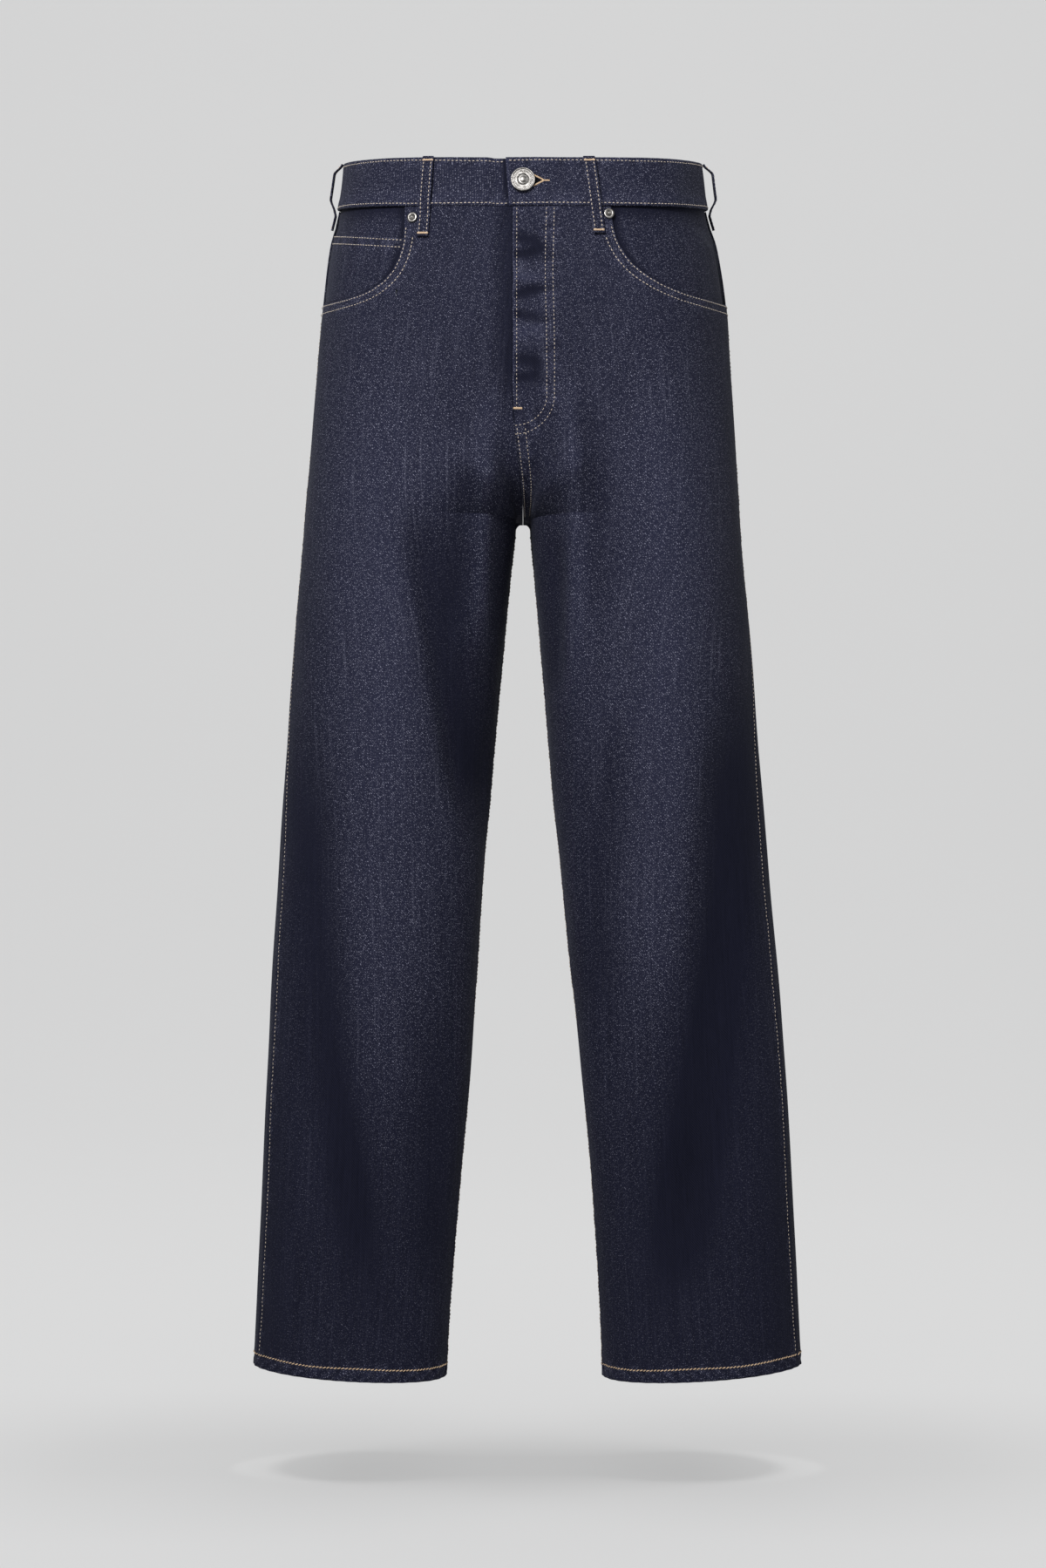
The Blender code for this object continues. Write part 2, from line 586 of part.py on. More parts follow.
def coin_pocket(side, name, collection):
    """The coin pocket on the wearer's right facing, open along its top edge."""
    along, level = facing_grid(side)
    along, level = along[1:6, 1:10], level[1:6, 1:10]
    depth = FACING_DEPTH + SEAM_GAP + FACING_CLOTH
    return laid(name, side, along, level, depth, FACING_CLOTH, collection)


def waistband(name, collection):
    """The waistband: one strip from its lapped buttonhole end, all the way round and under itself."""
    level = np.linspace(WAIST_SEAM + SEAM_GAP, WAIST_TOP, 3)
    half_left, half_right = lengths(LEFT, level)[1], lengths(RIGHT, level)[1]
    share = (level - level[0]) / (level[-1] - level[0])
    lap_end = mix(LAP_EDGE_LOW, LAP_EDGE_TOP, share)
    middle = spread(lap_end, half_left + half_right + LAP_START, 48)
    dive = spread(half_left + half_right + LAP_START, half_left + half_right + LAP_REACH, 9)[:, 1:]
    along = np.concatenate([middle, dive], axis=1)
    down = smooth((along - (half_left + half_right + LAP_START)[:, None]) / 0.009)
    depth = WAISTBAND_OUT + LAP_DEPTH * down
    return laid(name, LEFT, along, level[:, None] + 0 * along, depth,
                WAISTBAND_OUT - WAISTBAND_IN, collection)


def strap(name, side, top, low, middle_level, depths, collection):
    """A belt loop: a folded strap tacked above and below the waistband, proud in between."""
    t = np.linspace(0, 1, len(depths))
    level = mix(low[1], top[1], t)
    centre = mix(low[0], top[0], t)
    along = centre[:, None] + np.array([-0.5, 0.0, 0.5]) * LOOP_WIDTH
    return laid(name, side, along, level[:, None] + 0 * along, np.asarray(depths)[:, None] + 0 * along,
                LOOP_CLOTH, collection)


def patch_pocket(side, name, collection):
    """A plain back pocket: a patch with straight sides and a shallow point below."""
    columns = np.linspace(-1, 1, 11)[None, :]
    rows = np.linspace(0, 1, 8)[:, None]
    x = columns * mix(0.062, 0.073, rows)
    level = mix(BACK_POCKET_LOW + 0.014 * np.abs(columns), BACK_POCKET_TOP - 0.012 * columns, rows)
    half = lengths(side, level.ravel())[1].reshape(level.shape)
    return laid(name, side, half - BACK_POCKET_OUT + x, level, CLOTH + 0.0016, CLOTH, collection)


def hem(side, name, collection):
    """The turned-up hem inside a leg, on the panels' own points moved in."""
    level = np.array([HEM + 0.0004, HEM + HEM_TURN])
    over_front = spread(centre_front(side, level), outseam(side, level) - SEAM_GAP / 2, FRONT_COLUMNS)
    share = np.linspace(0, 1, BACK_COLUMNS)[None, 1:-1] + np.zeros((2, 1))
    over_back = between(side, share, level[:, None] + 0 * share)
    along = np.concatenate([over_front, over_back, over_front[:, :1] + lengths(side, level)[1][:, None]], axis=1)
    return laid(name, side, along, level[:, None] + 0 * along, -CLOTH - 0.0006, CLOTH, collection, ring=True)


def fly_underlap(name, collection):
    """The strip behind the fly opening, on the wearer's right."""
    level = np.linspace(-0.195, WAIST_SEAM - SEAM_GAP / 2, 7)
    along = spread(np.full(7, -0.030), np.full(7, 0.028), 9)
    return laid(name, LEFT, along, level[:, None] + 0 * along, -0.0032, CLOTH, collection)


def belt_loop(name, side, middle, top, low, rise, collection):
    """A belt loop: a folded strap tacked above and below the waistband, proud in between.

    middle gives the place of its centre line along the section at each level."""
    level = np.linspace(low, top, 13)
    touching = WAISTBAND_OUT * smooth((level - WAIST_SEAM + 0.005) / 0.004) + 0.0010
    proud = smooth((level - WAIST_SEAM + 0.003) / 0.013) * smooth((top - level) / 0.010)
    along = middle(level)[:, None] + np.array([-0.5, 0.0, 0.5]) * LOOP_WIDTH
    depth = (touching + LOOP_CLOTH + rise * proud)[:, None] + 0 * along
    return laid(name, side, along, level[:, None] + 0 * along, depth, LOOP_CLOTH, collection)


def stand_on(side, along, level, depth):
    """A place on the form and the way the cloth faces there."""
    place = wrap(side, np.array([along]), np.array([level]), np.array([depth]))[0]
    further = wrap(side, np.array([along]), np.array([level]), np.array([depth + 0.01]))[0]
    return Vector(place), Vector(further - place).normalized()


def rivet(name, side, x, level, collection):
    """A domed burr at a pocket corner."""
    along = along_at(side, x, np.array([level]))[0]
    place, facing_way = stand_on(side, along, level, 0.0003)
    r = RIVET_ACROSS / 2
    profile = ((0, 0), (r, 0.0002), (r, 0.0007), (0.85 * r, 0.0011), (0.5 * r, 0.0010),
               (0.32 * r, 0.0017), (0, 0.0022))
    return turned(name, profile, place, facing_way, collection)


def button(name, collection):
    """The shank button: its foot stands on the button end of the waistband and its shank
    passes through the buttonhole."""
    depth = WAISTBAND_OUT + LAP_DEPTH + 0.0003
    place, facing_way = stand_on(LEFT, 0.0, BUTTON_LEVEL, depth)
    r, shank = BUTTON_ACROSS / 2, SHANK_ACROSS / 2
    under = -LAP_DEPTH + 0.0010
    profile = ((0, 0), (shank, 0), (shank, under), (0.93 * r, under + 0.0006), (r, under + 0.0013),
               (r, under + 0.0022), (0.93 * r, under + 0.0028), (0.80 * r, under + 0.0021),
               (0.48 * r, under + 0.0020), (0.40 * r, under + 0.0027), (0.30 * r, under + 0.0028),
               (0.22 * r, under + 0.0021), (0, under + 0.0020))
    return turned(name, profile, place, facing_way, collection, steps=40)


def cut_buttonhole(band, cutters):
    """Cuts the buttonhole through the lapped end of the waistband only."""
    level = BUTTON_LEVEL + np.array([-1, 0, 1])[:, None] * BUTTONHOLE_HIGH / 2
    along = np.linspace(-SHANK_ACROSS / 2 - 0.0008, BUTTONHOLE_LONG, 9)[None, :] + 0 * level
    cutter = laid("buttonhole_cutter", LEFT, along, level + 0 * along, WAISTBAND_OUT + 0.003,
                  0.003 + WAISTBAND_OUT - WAISTBAND_IN + 0.00015, cutters)
    cutter.hide_render = True
    cutter.display_type = "WIRE"
    cut = band.modifiers.new("buttonhole", "BOOLEAN")
    cut.operation = "DIFFERENCE"
    cut.solver = "EXACT"
    cut.object = cutter


def build():
    """Makes every piece."""
    clear_scene()
    jeans = bpy.data.collections.new("straight_leg_jeans")
    cutters = bpy.data.collections.new("cutters")
    for group in (jeans, cutters):
        bpy.context.scene.collection.children.link(group)
    for side, word in ((RIGHT, "right"), (LEFT, "left")):
        front(side, "front_" + word, jeans)
        back(side, "back_" + word, jeans)
        yoke(side, "yoke_" + word, jeans)
        facing(side, "pocket_facing_" + word, jeans)
        patch_pocket(side, "back_pocket_" + word, jeans)
        hem(side, "hem_" + word, jeans)
        def front_line(level, side=side, loop=FRONT_LOOPS[side]):
            lean = (LOOP_TOP - level) / (LOOP_TOP - loop["low"])
            return along_at(side, mix(loop["x_top"], loop["x_low"], lean), level)

        def side_line(level, side=side):
            return lengths(side, level)[0] + SIDE_LOOP_BACK

        belt_loop("loop_front_" + word, side, front_line, LOOP_TOP, FRONT_LOOPS[side]["low"],
                  FRONT_LOOP_RISE, jeans)
        belt_loop("loop_side_" + word, side, side_line, LOOP_TOP, SIDE_LOOP_LOW,
                  SIDE_LOOP_RISE[side], jeans)
        rivet("rivet_" + word, side, RIVETS[side]["x"], RIVETS[side]["level"], jeans)
    belt_loop("loop_back", LEFT, lambda level: lengths(LEFT, level)[1], LOOP_TOP, SIDE_LOOP_LOW,
              FRONT_LOOP_RISE, jeans)
    coin_pocket(RIGHT, "coin_pocket", jeans)
    fly_underlap("fly_underlap", jeans)
    cut_buttonhole(waistband("waistband", jeans), cutters)
    button("button", jeans)


build()
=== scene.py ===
"""The looks of a pair of straight leg jeans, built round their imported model.

Every piece of cloth is a thin wall laid on one shape, the form: a row of measured
sections that runs from the waist to the hems. The stitching, the buttonhole, the button
and the rivets are laid on the same form, so they follow every fold.

Metres, +Z up. The front faces -Y and the wearer's right is -X.
"""

from __future__ import annotations

import logging
import math
from dataclasses import dataclass, field
from enum import Enum
from functools import partial
from typing import Callable, NamedTuple, Sequence

import bmesh
import bpy
import numpy as np
from mathutils import Matrix, Vector

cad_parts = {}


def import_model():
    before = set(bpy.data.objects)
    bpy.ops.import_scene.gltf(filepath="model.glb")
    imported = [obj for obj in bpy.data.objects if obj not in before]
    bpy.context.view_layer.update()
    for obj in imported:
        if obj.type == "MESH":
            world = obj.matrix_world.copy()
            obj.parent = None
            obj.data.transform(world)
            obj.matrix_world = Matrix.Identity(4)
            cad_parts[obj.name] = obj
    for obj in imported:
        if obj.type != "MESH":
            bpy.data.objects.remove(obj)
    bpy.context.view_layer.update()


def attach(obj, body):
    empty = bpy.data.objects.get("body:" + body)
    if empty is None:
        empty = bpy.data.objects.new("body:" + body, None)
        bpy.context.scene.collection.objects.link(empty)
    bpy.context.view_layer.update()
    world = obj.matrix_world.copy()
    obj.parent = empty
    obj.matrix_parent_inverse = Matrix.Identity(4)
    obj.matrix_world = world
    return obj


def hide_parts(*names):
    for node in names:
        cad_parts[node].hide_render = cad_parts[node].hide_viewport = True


log = logging.getLogger("jeans")

Array = np.ndarray
BODY = "root"


class Side(Enum):
    """A side of the body, as the wearer says it, with the sign of its X."""

    RIGHT = -1
    LEFT = 1

    @property
    def word(self) -> str:
        """The word that piece names end in."""
        return self.name.lower()


class Face(Enum):
    """The front or the back of the jeans."""

    FRONT = 1
    BACK = -1


class Section(NamedTuple):
    """One measured section of the form."""

    level: float
    outer_right: float
    outer_left: float
    inner_right: float
    inner_left: float
    front: float
    back: float
    centre_front: float
    centre_back: float
    front_at: float
    back_at: float
    broad: float
    round: float


class Fold(NamedTuple):
    """A soft ridge, or a trough where height is minus, down one face of a leg."""

    side: Side
    face: Face
    x_top: float
    x_middle: float
    x_low: float
    z_top: float
    z_low: float
    in_width: float
    out_width: float
    height: float


SECTIONS = (
    Section(0.0180, 0.1512, 0.1512, 0.0065, 0.0065, 0.1050, 0.1110, 0.1045, 0.1095, 0.34, 0.36, 0.60, 0.56),
    Section(-0.0205, 0.1570, 0.1562, 0.0065, 0.0065, 0.1100, 0.1180, 0.1092, 0.1150, 0.38, 0.40, 0.60, 0.56),
    Section(-0.0580, 0.1655, 0.1665, 0.0065, 0.0065, 0.1135, 0.1260, 0.1122, 0.1200, 0.42, 0.44, 0.60, 0.56),
    Section(-0.1030, 0.1706, 0.1732, 0.0065, 0.0065, 0.1155, 0.1330, 0.1140, 0.1240, 0.46, 0.47, 0.60, 0.55),
    Section(-0.1600, 0.1758, 0.1773, 0.0065, 0.0065, 0.1165, 0.1380, 0.1145, 0.1270, 0.48, 0.49, 0.60, 0.54),
    Section(-0.2250, 0.1806, 0.1812, 0.0065, 0.0065, 0.1155, 0.1380, 0.1125, 0.1265, 0.50, 0.50, 0.60, 0.54),
    Section(-0.2900, 0.1866, 0.1853, 0.0065, 0.0065, 0.1105, 0.1280, 0.1100, 0.1240, 0.50, 0.50, 0.59, 0.53),
    Section(-0.3350, 0.1900, 0.1885, 0.0113, 0.0105, 0.1050, 0.1150, 0.1100, 0.1200, 0.50, 0.50, 0.58, 0.52),
    Section(-0.4000, 0.1952, 0.1944, 0.0171, 0.0157, 0.0960, 0.1000, 0.1100, 0.1200, 0.50, 0.50, 0.58, 0.50),
    Section(-0.5100, 0.2040, 0.2040, 0.0274, 0.0252, 0.0830, 0.0830, 0.1100, 0.1200, 0.50, 0.50, 0.58, 0.48),
    Section(-0.6200, 0.2108, 0.2127, 0.0365, 0.0361, 0.0710, 0.0710, 0.1100, 0.1200, 0.50, 0.50, 0.58, 0.47),
    Section(-0.7600, 0.2183, 0.2242, 0.0454, 0.0507, 0.0600, 0.0640, 0.1100, 0.1200, 0.50, 0.50, 0.58, 0.46),
    Section(-0.9000, 0.2250, 0.2324, 0.0581, 0.0626, 0.0540, 0.0610, 0.1100, 0.1200, 0.50, 0.50, 0.58, 0.46),
    Section(-1.0125, 0.2302, 0.2377, 0.0663, 0.0687, 0.0515, 0.0600, 0.1100, 0.1200, 0.50, 0.50, 0.58, 0.46),
)

FOLDS = (
    Fold(Side.RIGHT, Face.FRONT, 0.022, 0.033, 0.034, -0.170, -0.430, 0.007, 0.008, 0.0046),
    Fold(Side.RIGHT, Face.FRONT, 0.040, 0.047, 0.050, -0.235, -0.400, 0.008, 0.010, -0.0036),
    Fold(Side.RIGHT, Face.FRONT, 0.094, 0.064, 0.036, -0.265, -0.580, 0.020, 0.011, -0.0088),
    Fold(Side.RIGHT, Face.FRONT, 0.108, 0.114, 0.118, -0.190, -0.860, 0.024, 0.026, 0.0030),
    Fold(Side.RIGHT, Face.FRONT, 0.182, 0.160, 0.118, -0.440, -1.000, 0.013, 0.017, -0.0062),
    Fold(Side.RIGHT, Face.FRONT, 0.066, 0.073, 0.078, -0.680, -0.960, 0.012, 0.014, -0.0026),
    Fold(Side.LEFT, Face.FRONT, 0.032, 0.045, 0.035, -0.160, -0.470, 0.007, 0.007, 0.0046),
    Fold(Side.LEFT, Face.FRONT, 0.022, 0.028, 0.027, -0.290, -0.450, 0.006, 0.006, -0.0034),
    Fold(Side.LEFT, Face.FRONT, 0.050, 0.058, 0.056, -0.190, -0.400, 0.008, 0.012, -0.0034),
    Fold(Side.LEFT, Face.FRONT, 0.110, 0.126, 0.094, -0.170, -0.760, 0.020, 0.022, 0.0044),
    Fold(Side.LEFT, Face.FRONT, 0.083, 0.064, 0.068, -0.430, -0.760, 0.013, 0.013, -0.0040),
    Fold(Side.LEFT, Face.FRONT, 0.174, 0.157, 0.106, -0.400, -1.005, 0.019, 0.022, -0.0090),
    Fold(Side.RIGHT, Face.BACK, 0.024, 0.040, 0.048, -0.250, -0.470, 0.009, 0.010, -0.0042),
    Fold(Side.RIGHT, Face.BACK, 0.095, 0.080, 0.060, -0.300, -0.590, 0.016, 0.018, -0.0064),
    Fold(Side.RIGHT, Face.BACK, 0.060, 0.092, 0.110, -0.290, -0.480, 0.010, 0.010, 0.0030),
    Fold(Side.RIGHT, Face.BACK, 0.150, 0.135, 0.150, -0.520, -0.930, 0.018, 0.016, -0.0054),
    Fold(Side.LEFT, Face.BACK, 0.026, 0.044, 0.046, -0.245, -0.440, 0.009, 0.011, -0.0042),
    Fold(Side.LEFT, Face.BACK, 0.105, 0.086, 0.070, -0.310, -0.620, 0.017, 0.016, -0.0066),
    Fold(Side.LEFT, Face.BACK, 0.066, 0.100, 0.120, -0.280, -0.450, 0.010, 0.011, 0.0030),
    Fold(Side.LEFT, Face.BACK, 0.168, 0.148, 0.128, -0.500, -0.960, 0.017, 0.020, -0.0056),
)

OUTSEAM = ((0.0180, -0.006), (-0.1030, -0.004), (-0.2800, -0.001), (-0.4000, 0.016),
           (-0.6200, 0.022), (-0.9000, 0.020), (-1.0125, 0.016))

WAIST_TOP = 0.0172
WAIST_SEAM = -0.0232
CROTCH = -0.2900
HEM = -1.0125
CROTCH_Y = 0.005
FRONT_FORK = -0.222
BACK_FORK = -0.170
FORK_GAP = 0.0065
WAIST_TILT = 0.164
LEG_TILT = 0.062
CENTRE_FRONT = -0.0085
INSEAM_FORWARD = 0.011
CLOTH = 0.0012
SEAM_GAP = 0.0003
LEG_TOP = -0.128
YOKE_AT_SIDE = -0.048
YOKE_AT_BACK = -0.088
COIN_TOP = -0.044
POCKET_CORNER = -0.1055
MOUTH_FOOT = POCKET_CORNER + 0.010
MOUTH_SHADE = 0.009
FACING_DEPTH = -0.0036
FACING_DEPTH_AT_WAIST = -0.0021
WAISTBAND_OUT = 0.0013
WAISTBAND_IN = -0.0015
LAP_DEPTH = -0.0031
LAP_EDGE_LOW = -0.0114
LAP_EDGE_TOP = -0.0142
LAP_START = -0.030
LAP_REACH = 0.026
ALLOWANCE = 0.0075
ALLOWANCE_LIFT = 0.00055
SEAT_ALLOWANCE = 0.010
SEAT_LIFT = 0.0005
PATCH_ACROSS = 0.068
PATCH_DOWN = 0.135
FACING_CLOTH = 0.0011
HEM_TURN = 0.0120
HEM_ROW = 0.0105
J_LOW = -0.197
FLY_TACK = -0.2065
BUTTON_LEVEL = -0.0025


def mix(a, b, share):
    """a where share is 0 and b where it is 1."""
    return a + (b - a) * share


def smooth(share: Array | float) -> Array:
    """0 below 0, 1 above 1, with soft ends."""
    share = np.clip(share, 0.0, 1.0)
    return share * share * (3.0 - 2.0 * share)


def bell(distance: Array | float, width: float) -> Array:
    """1 at 0, falling away softly over width."""
    return np.exp(-0.5 * (np.asarray(distance) / width) ** 2)


def smooth_rows(rows: Sequence[Sequence[float]]) -> Callable[[Array], Array]:
    """Joins table rows smoothly, never passing beyond neighbouring rows.

    Args:
        rows: level first, then the columns to be read.

    Returns:
        A function from levels to an array of levels x columns.
    """
    table = np.array(sorted(tuple(row) for row in rows), float)
    at, values = table[:, 0], table[:, 1:]
    step = np.diff(at)[:, None]
    slope = np.diff(values, axis=0) / step
    before, after = 2 * step[1:] + step[:-1], step[1:] + 2 * step[:-1]
    turning = slope[:-1] * slope[1:] <= 0
    safe = np.where(turning, 1.0, slope[:-1]), np.where(turning, 1.0, slope[1:])
    middle = np.where(turning, 0.0, (before + after) / (before / safe[0] + after / safe[1]))
    slopes = np.vstack([slope[:1], middle, slope[-1:]])

    def read(level: Array) -> Array:
        """The columns at each level."""
        level = np.clip(np.asarray(level, float), at[0], at[-1])
        i = np.clip(np.searchsorted(at, level) - 1, 0, len(at) - 2)
        width = (at[i + 1] - at[i])[:, None]
        t = (level - at[i])[:, None] / width
        return (
            values[i] * (1 + 2 * t) * (1 - t) ** 2
            + slopes[i] * width * t * (1 - t) ** 2
            + values[i + 1] * t * t * (3 - 2 * t)
            + slopes[i + 1] * width * t * t * (t - 1)
        )

    return read


def arc(a: Array, a_way: Array, a_reach: Array, b: Array, b_way: Array, b_reach: Array) -> Array:
    """The four points of Bezier arcs from a, leaving along a_way, to b, arriving along b_way."""
    span = np.abs(b - a)
    a_handle = a_reach * (span * np.abs(a_way)).sum(-1)
    b_handle = b_reach * (span * np.abs(b_way)).sum(-1)
    return np.stack([a, a + a_way * a_handle[:, None], b - b_way * b_handle[:, None], b], axis=1)


def bezier(points: Array, t: Array) -> tuple[Array, Array]:
    """A place and a direction on each Bezier arc at t."""
    a, b, c, d = (points[..., i, :] for i in range(4))
    t = t[..., None]
    place = a * (1 - t) ** 3 + 3 * b * t * (1 - t) ** 2 + 3 * c * t * t * (1 - t) + d * t**3
    way = (b - a) * (1 - t) ** 2 + 2 * (c - b) * t * (1 - t) + (d - c) * t * t
    return place, way


class Form:
    """The shape that all the cloth lies on.

    A place on it has a side, a way along the section from the centre front (or the
    inside of the leg), a level before the waist and legs are tilted, and a depth
    outwards from the outside of the front and back panels.
    """

    SAMPLES = 12
    STEP = 0.0008

    def __init__(self) -> None:
        """Reads the tables."""
        self.read = smooth_rows(SECTIONS)
        self.read_outseam = smooth_rows(OUTSEAM)

    def columns(self, side: Side, level: Array) -> dict[str, Array]:
        """The section's columns at each level, with this side's outer and inner."""
        column = dict(zip(Section._fields[1:], self.read(level).T))
        column["outer"] = column["outer_" + side.word]
        column["inner"] = column["inner_" + side.word]
        return column

    def arcs(self, side: Side, level: Array) -> Array:
        """The six Bezier arcs of a half section, centre front to centre back.

        Args:
            side: the side of the body.
            level: one level for each section.

        Returns:
            levels x arcs x four points x (out from the middle, back).
        """
        column = self.columns(side, level)
        outer, inner = column["outer"], column["inner"]
        opening = np.clip((CROTCH - level) / FORK_GAP, 0, 1)
        inside = inner * np.sqrt(1 - (1 - opening) ** 2)
        valley = np.maximum(inner, FORK_GAP)
        half = []
        for face, fork_level, sign in (("front", FRONT_FORK, -1), ("back", BACK_FORK, 1)):
            fork = np.clip((fork_level - level) / (fork_level - CROTCH), 0, 1)
            turn = smooth(fork) * math.pi / 2
            depth, centre = sign * column[face], sign * column["centre_" + face]
            start_y = CROTCH_Y + (centre - CROTCH_Y) * np.sqrt(1 - fork**2.2)
            base = valley * smooth(fork)
            peak_x = base + (outer - base) * column[face + "_at"]
            wall = mix(0.30, 0.10, smooth((CROTCH - level) / 0.14))
            centre_share = (centre - CROTCH_Y) / (depth - CROTCH_Y)
            start = np.stack([inside, start_y], -1)
            shoulder = np.stack([
                mix(0.35 * peak_x, valley, smooth(fork)),
                CROTCH_Y + (depth - CROTCH_Y) * mix((1 + centre_share) / 2, wall, fork**4),
            ], -1)
            peak = np.stack([peak_x, depth], -1)
            side_point = np.stack([outer, np.zeros_like(outer)], -1)
            start_turn = np.stack([np.cos(opening * math.pi / 2), sign * np.sin(opening * math.pi / 2)], -1)
            shoulder_turn = np.stack([np.cos(turn), sign * np.sin(turn)], -1)
            flat = np.stack([np.ones_like(outer), np.zeros_like(outer)], -1)
            upright = np.stack([np.zeros_like(outer), np.full_like(outer, -sign)], -1)
            even = np.full_like(outer, 0.55)
            half.append([
                arc(start, start_turn, even, shoulder, shoulder_turn, even),
                arc(shoulder, shoulder_turn, even, peak, flat, column["broad"]),
                arc(peak, flat, column["broad"], side_point, upright, column["round"]),
            ])
        return np.stack(half[0] + [part[:, ::-1] for part in reversed(half[1])], axis=1)

    def measured(self, side: Side, level: Array) -> tuple[Array, Array, Array]:
        """The arcs at each level, sampled places, and how far round each sample is."""
        arcs = self.arcs(side, level)
        t = np.linspace(0, 1, self.SAMPLES + 1)
        places, _ = bezier(arcs[:, :, None], np.broadcast_to(t, arcs.shape[:2] + t.shape))
        steps = np.linalg.norm(np.diff(places, axis=2), axis=-1).reshape(len(level), -1)
        run = np.concatenate([np.zeros((len(level), 1)), np.cumsum(steps, axis=1)], axis=1)
        return arcs, places, run

    def lengths(self, side: Side, level: Array | float) -> tuple[Array, Array]:
        """The way round from the centre front to the widest point, and to the centre back."""
        flat = np.atleast_1d(np.asarray(level, float)).ravel()
        distinct, back_to = np.unique(flat, return_inverse=True)
        run = self.measured(side, distinct)[2]
        shape = np.shape(np.atleast_1d(level))
        return run[back_to, 3 * self.SAMPLES].reshape(shape), run[back_to, -1].reshape(shape)

    def outseam(self, side: Side, level: Array | float) -> Array:
        """Where the outseam lies along the section."""
        level = np.atleast_1d(np.asarray(level, float))
        forward = self.read_outseam(level.ravel())[:, 0].reshape(level.shape)
        return self.lengths(side, level)[0] - forward

    @staticmethod
    def inseam(level: Array | float) -> Array:
        """Where the inseam lies along a leg's section, in front of its innermost point."""
        return INSEAM_FORWARD * smooth((CROTCH - np.asarray(level, float)) / 0.09)

    @staticmethod
    def fly_edge(level: Array | float) -> Array:
        """X of the fly edge, and of the front seam below it."""
        return CENTRE_FRONT * (1 - smooth((-0.19 - np.asarray(level, float)) / 0.10))

    def along_at(self, side: Side, x: Array | float, level: Array | float) -> Array:
        """How far round the front of the section a place x out from the middle is."""
        level = np.atleast_1d(np.asarray(level, float))
        _, places, run = self.measured(side, level)
        distance = run[:, :3 * self.SAMPLES + 1]
        flat = np.concatenate([places[:, 0, :1, 0], places[:, :3, 1:, 0].reshape(len(level), -1)], axis=1)
        x = np.broadcast_to(x, level.shape)
        return np.array([np.interp(one, f, d) for one, f, d in zip(x, flat, distance)])

    @staticmethod
    def fold_height(side: Side, facing: Array, x: Array, z: Array, folds: Sequence[Fold]) -> Array:
        """How far the folds push the cloth out at each point.

        Args:
            side: the side of the body.
            facing: 1 where the cloth faces the front, -1 where it faces the back.
            x: distance out from the middle.
            z: height.
            folds: the ridges and troughs.

        Returns:
            Metres outwards.
        """
        total = np.zeros_like(x)
        for fold in folds:
            if fold.side is not side:
                continue
            t = (fold.z_top - z) / (fold.z_top - fold.z_low)
            path = (
                fold.x_top * 2 * (t - 0.5) * (t - 1)
                + fold.x_middle * 4 * t * (1 - t)
                + fold.x_low * 2 * t * (t - 0.5)
            )
            away = x - path
            width = np.where(away < 0, fold.in_width, fold.out_width)
            ends = smooth(t / 0.22) * smooth((1 - t) / 0.3)
            total += fold.height * ends * bell(away, width) * smooth(facing * fold.face.value / 0.35)
        return total

    def half_skin(self, side: Side, along: Array, level: Array) -> Array:
        """Points on one side of the body."""
        distinct, back_to = np.unique(level, return_inverse=True)
        arcs, _, run = self.measured(side, distinct)
        arcs, run = arcs[back_to], run[back_to]
        along = np.minimum(along, run[:, -1] - 1e-9)
        i = np.clip((run <= along[:, None]).sum(1) - 1, 0, run.shape[1] - 2)
        rows = np.arange(len(level))
        local = (along - run[rows, i]) / np.maximum(run[rows, i + 1] - run[rows, i], 1e-12)
        place, way = bezier(arcs[rows, i // self.SAMPLES], (i % self.SAMPLES + local) / self.SAMPLES)
        way /= np.maximum(np.linalg.norm(way, axis=-1, keepdims=True), 1e-12)
        outward = np.stack([way[:, 1], -way[:, 0]], -1)
        column = self.columns(side, level)
        middle = place[:, 0] - (column["outer"] + column["inner"]) / 2
        waist = WAIST_TILT * smooth((level + 0.20) / 0.17)
        leg = LEG_TILT * smooth((-0.42 - level) / 0.5)
        z = level + waist * place[:, 1] + leg * middle
        push = self.fold_height(side, -outward[:, 1], place[:, 0], z, FOLDS)
        place = place + outward * push[:, None]
        return np.stack([side.value * place[:, 0], place[:, 1], z], -1)

    def skin(self, side: Side, along: Array, level: Array) -> Array:
        """The outside of the cloth. On the body, along may run on past the centre back or
        the centre front; on a leg it may run on past the inside.

        Args:
            side: the side that along is measured on.
            along: the way round the section.
            level: the section's level.

        Returns:
            Points in the row frame.
        """
        along, level = np.broadcast_arrays(np.asarray(along, float), np.asarray(level, float))
        shape = along.shape
        along, level = along.ravel(), level.ravel()
        half = {one: self.lengths(one, level)[1] for one in Side}
        body = level > CROTCH
        whole = half[Side.LEFT] + half[Side.RIGHT]
        along = np.mod(along, np.where(body, whole, half[side]))
        over = body & (along > half[side])
        along = np.where(over, whole - along, along)
        out = np.empty((along.size, 3))
        for one in Side:
            chosen = ~over if one is side else over
            if chosen.any():
                out[chosen] = self.half_skin(one, along[chosen], level[chosen])
        return out.reshape(*shape, 3)

    def frame(self, side: Side, along: Array, level: Array) -> tuple[Array, Array]:
        """Points on the outside of the cloth and the way it faces there."""
        along, level = np.broadcast_arrays(np.asarray(along, float), np.asarray(level, float))
        here = self.skin(side, along, level)
        round_way = self.skin(side, along + self.STEP, level) - self.skin(side, along - self.STEP, level)
        up_way = self.skin(side, along, level + self.STEP) - self.skin(side, along, level - self.STEP)
        normal = np.cross(round_way, up_way) * side.value
        normal /= np.maximum(np.linalg.norm(normal, axis=-1, keepdims=True), 1e-12)
        return here, normal


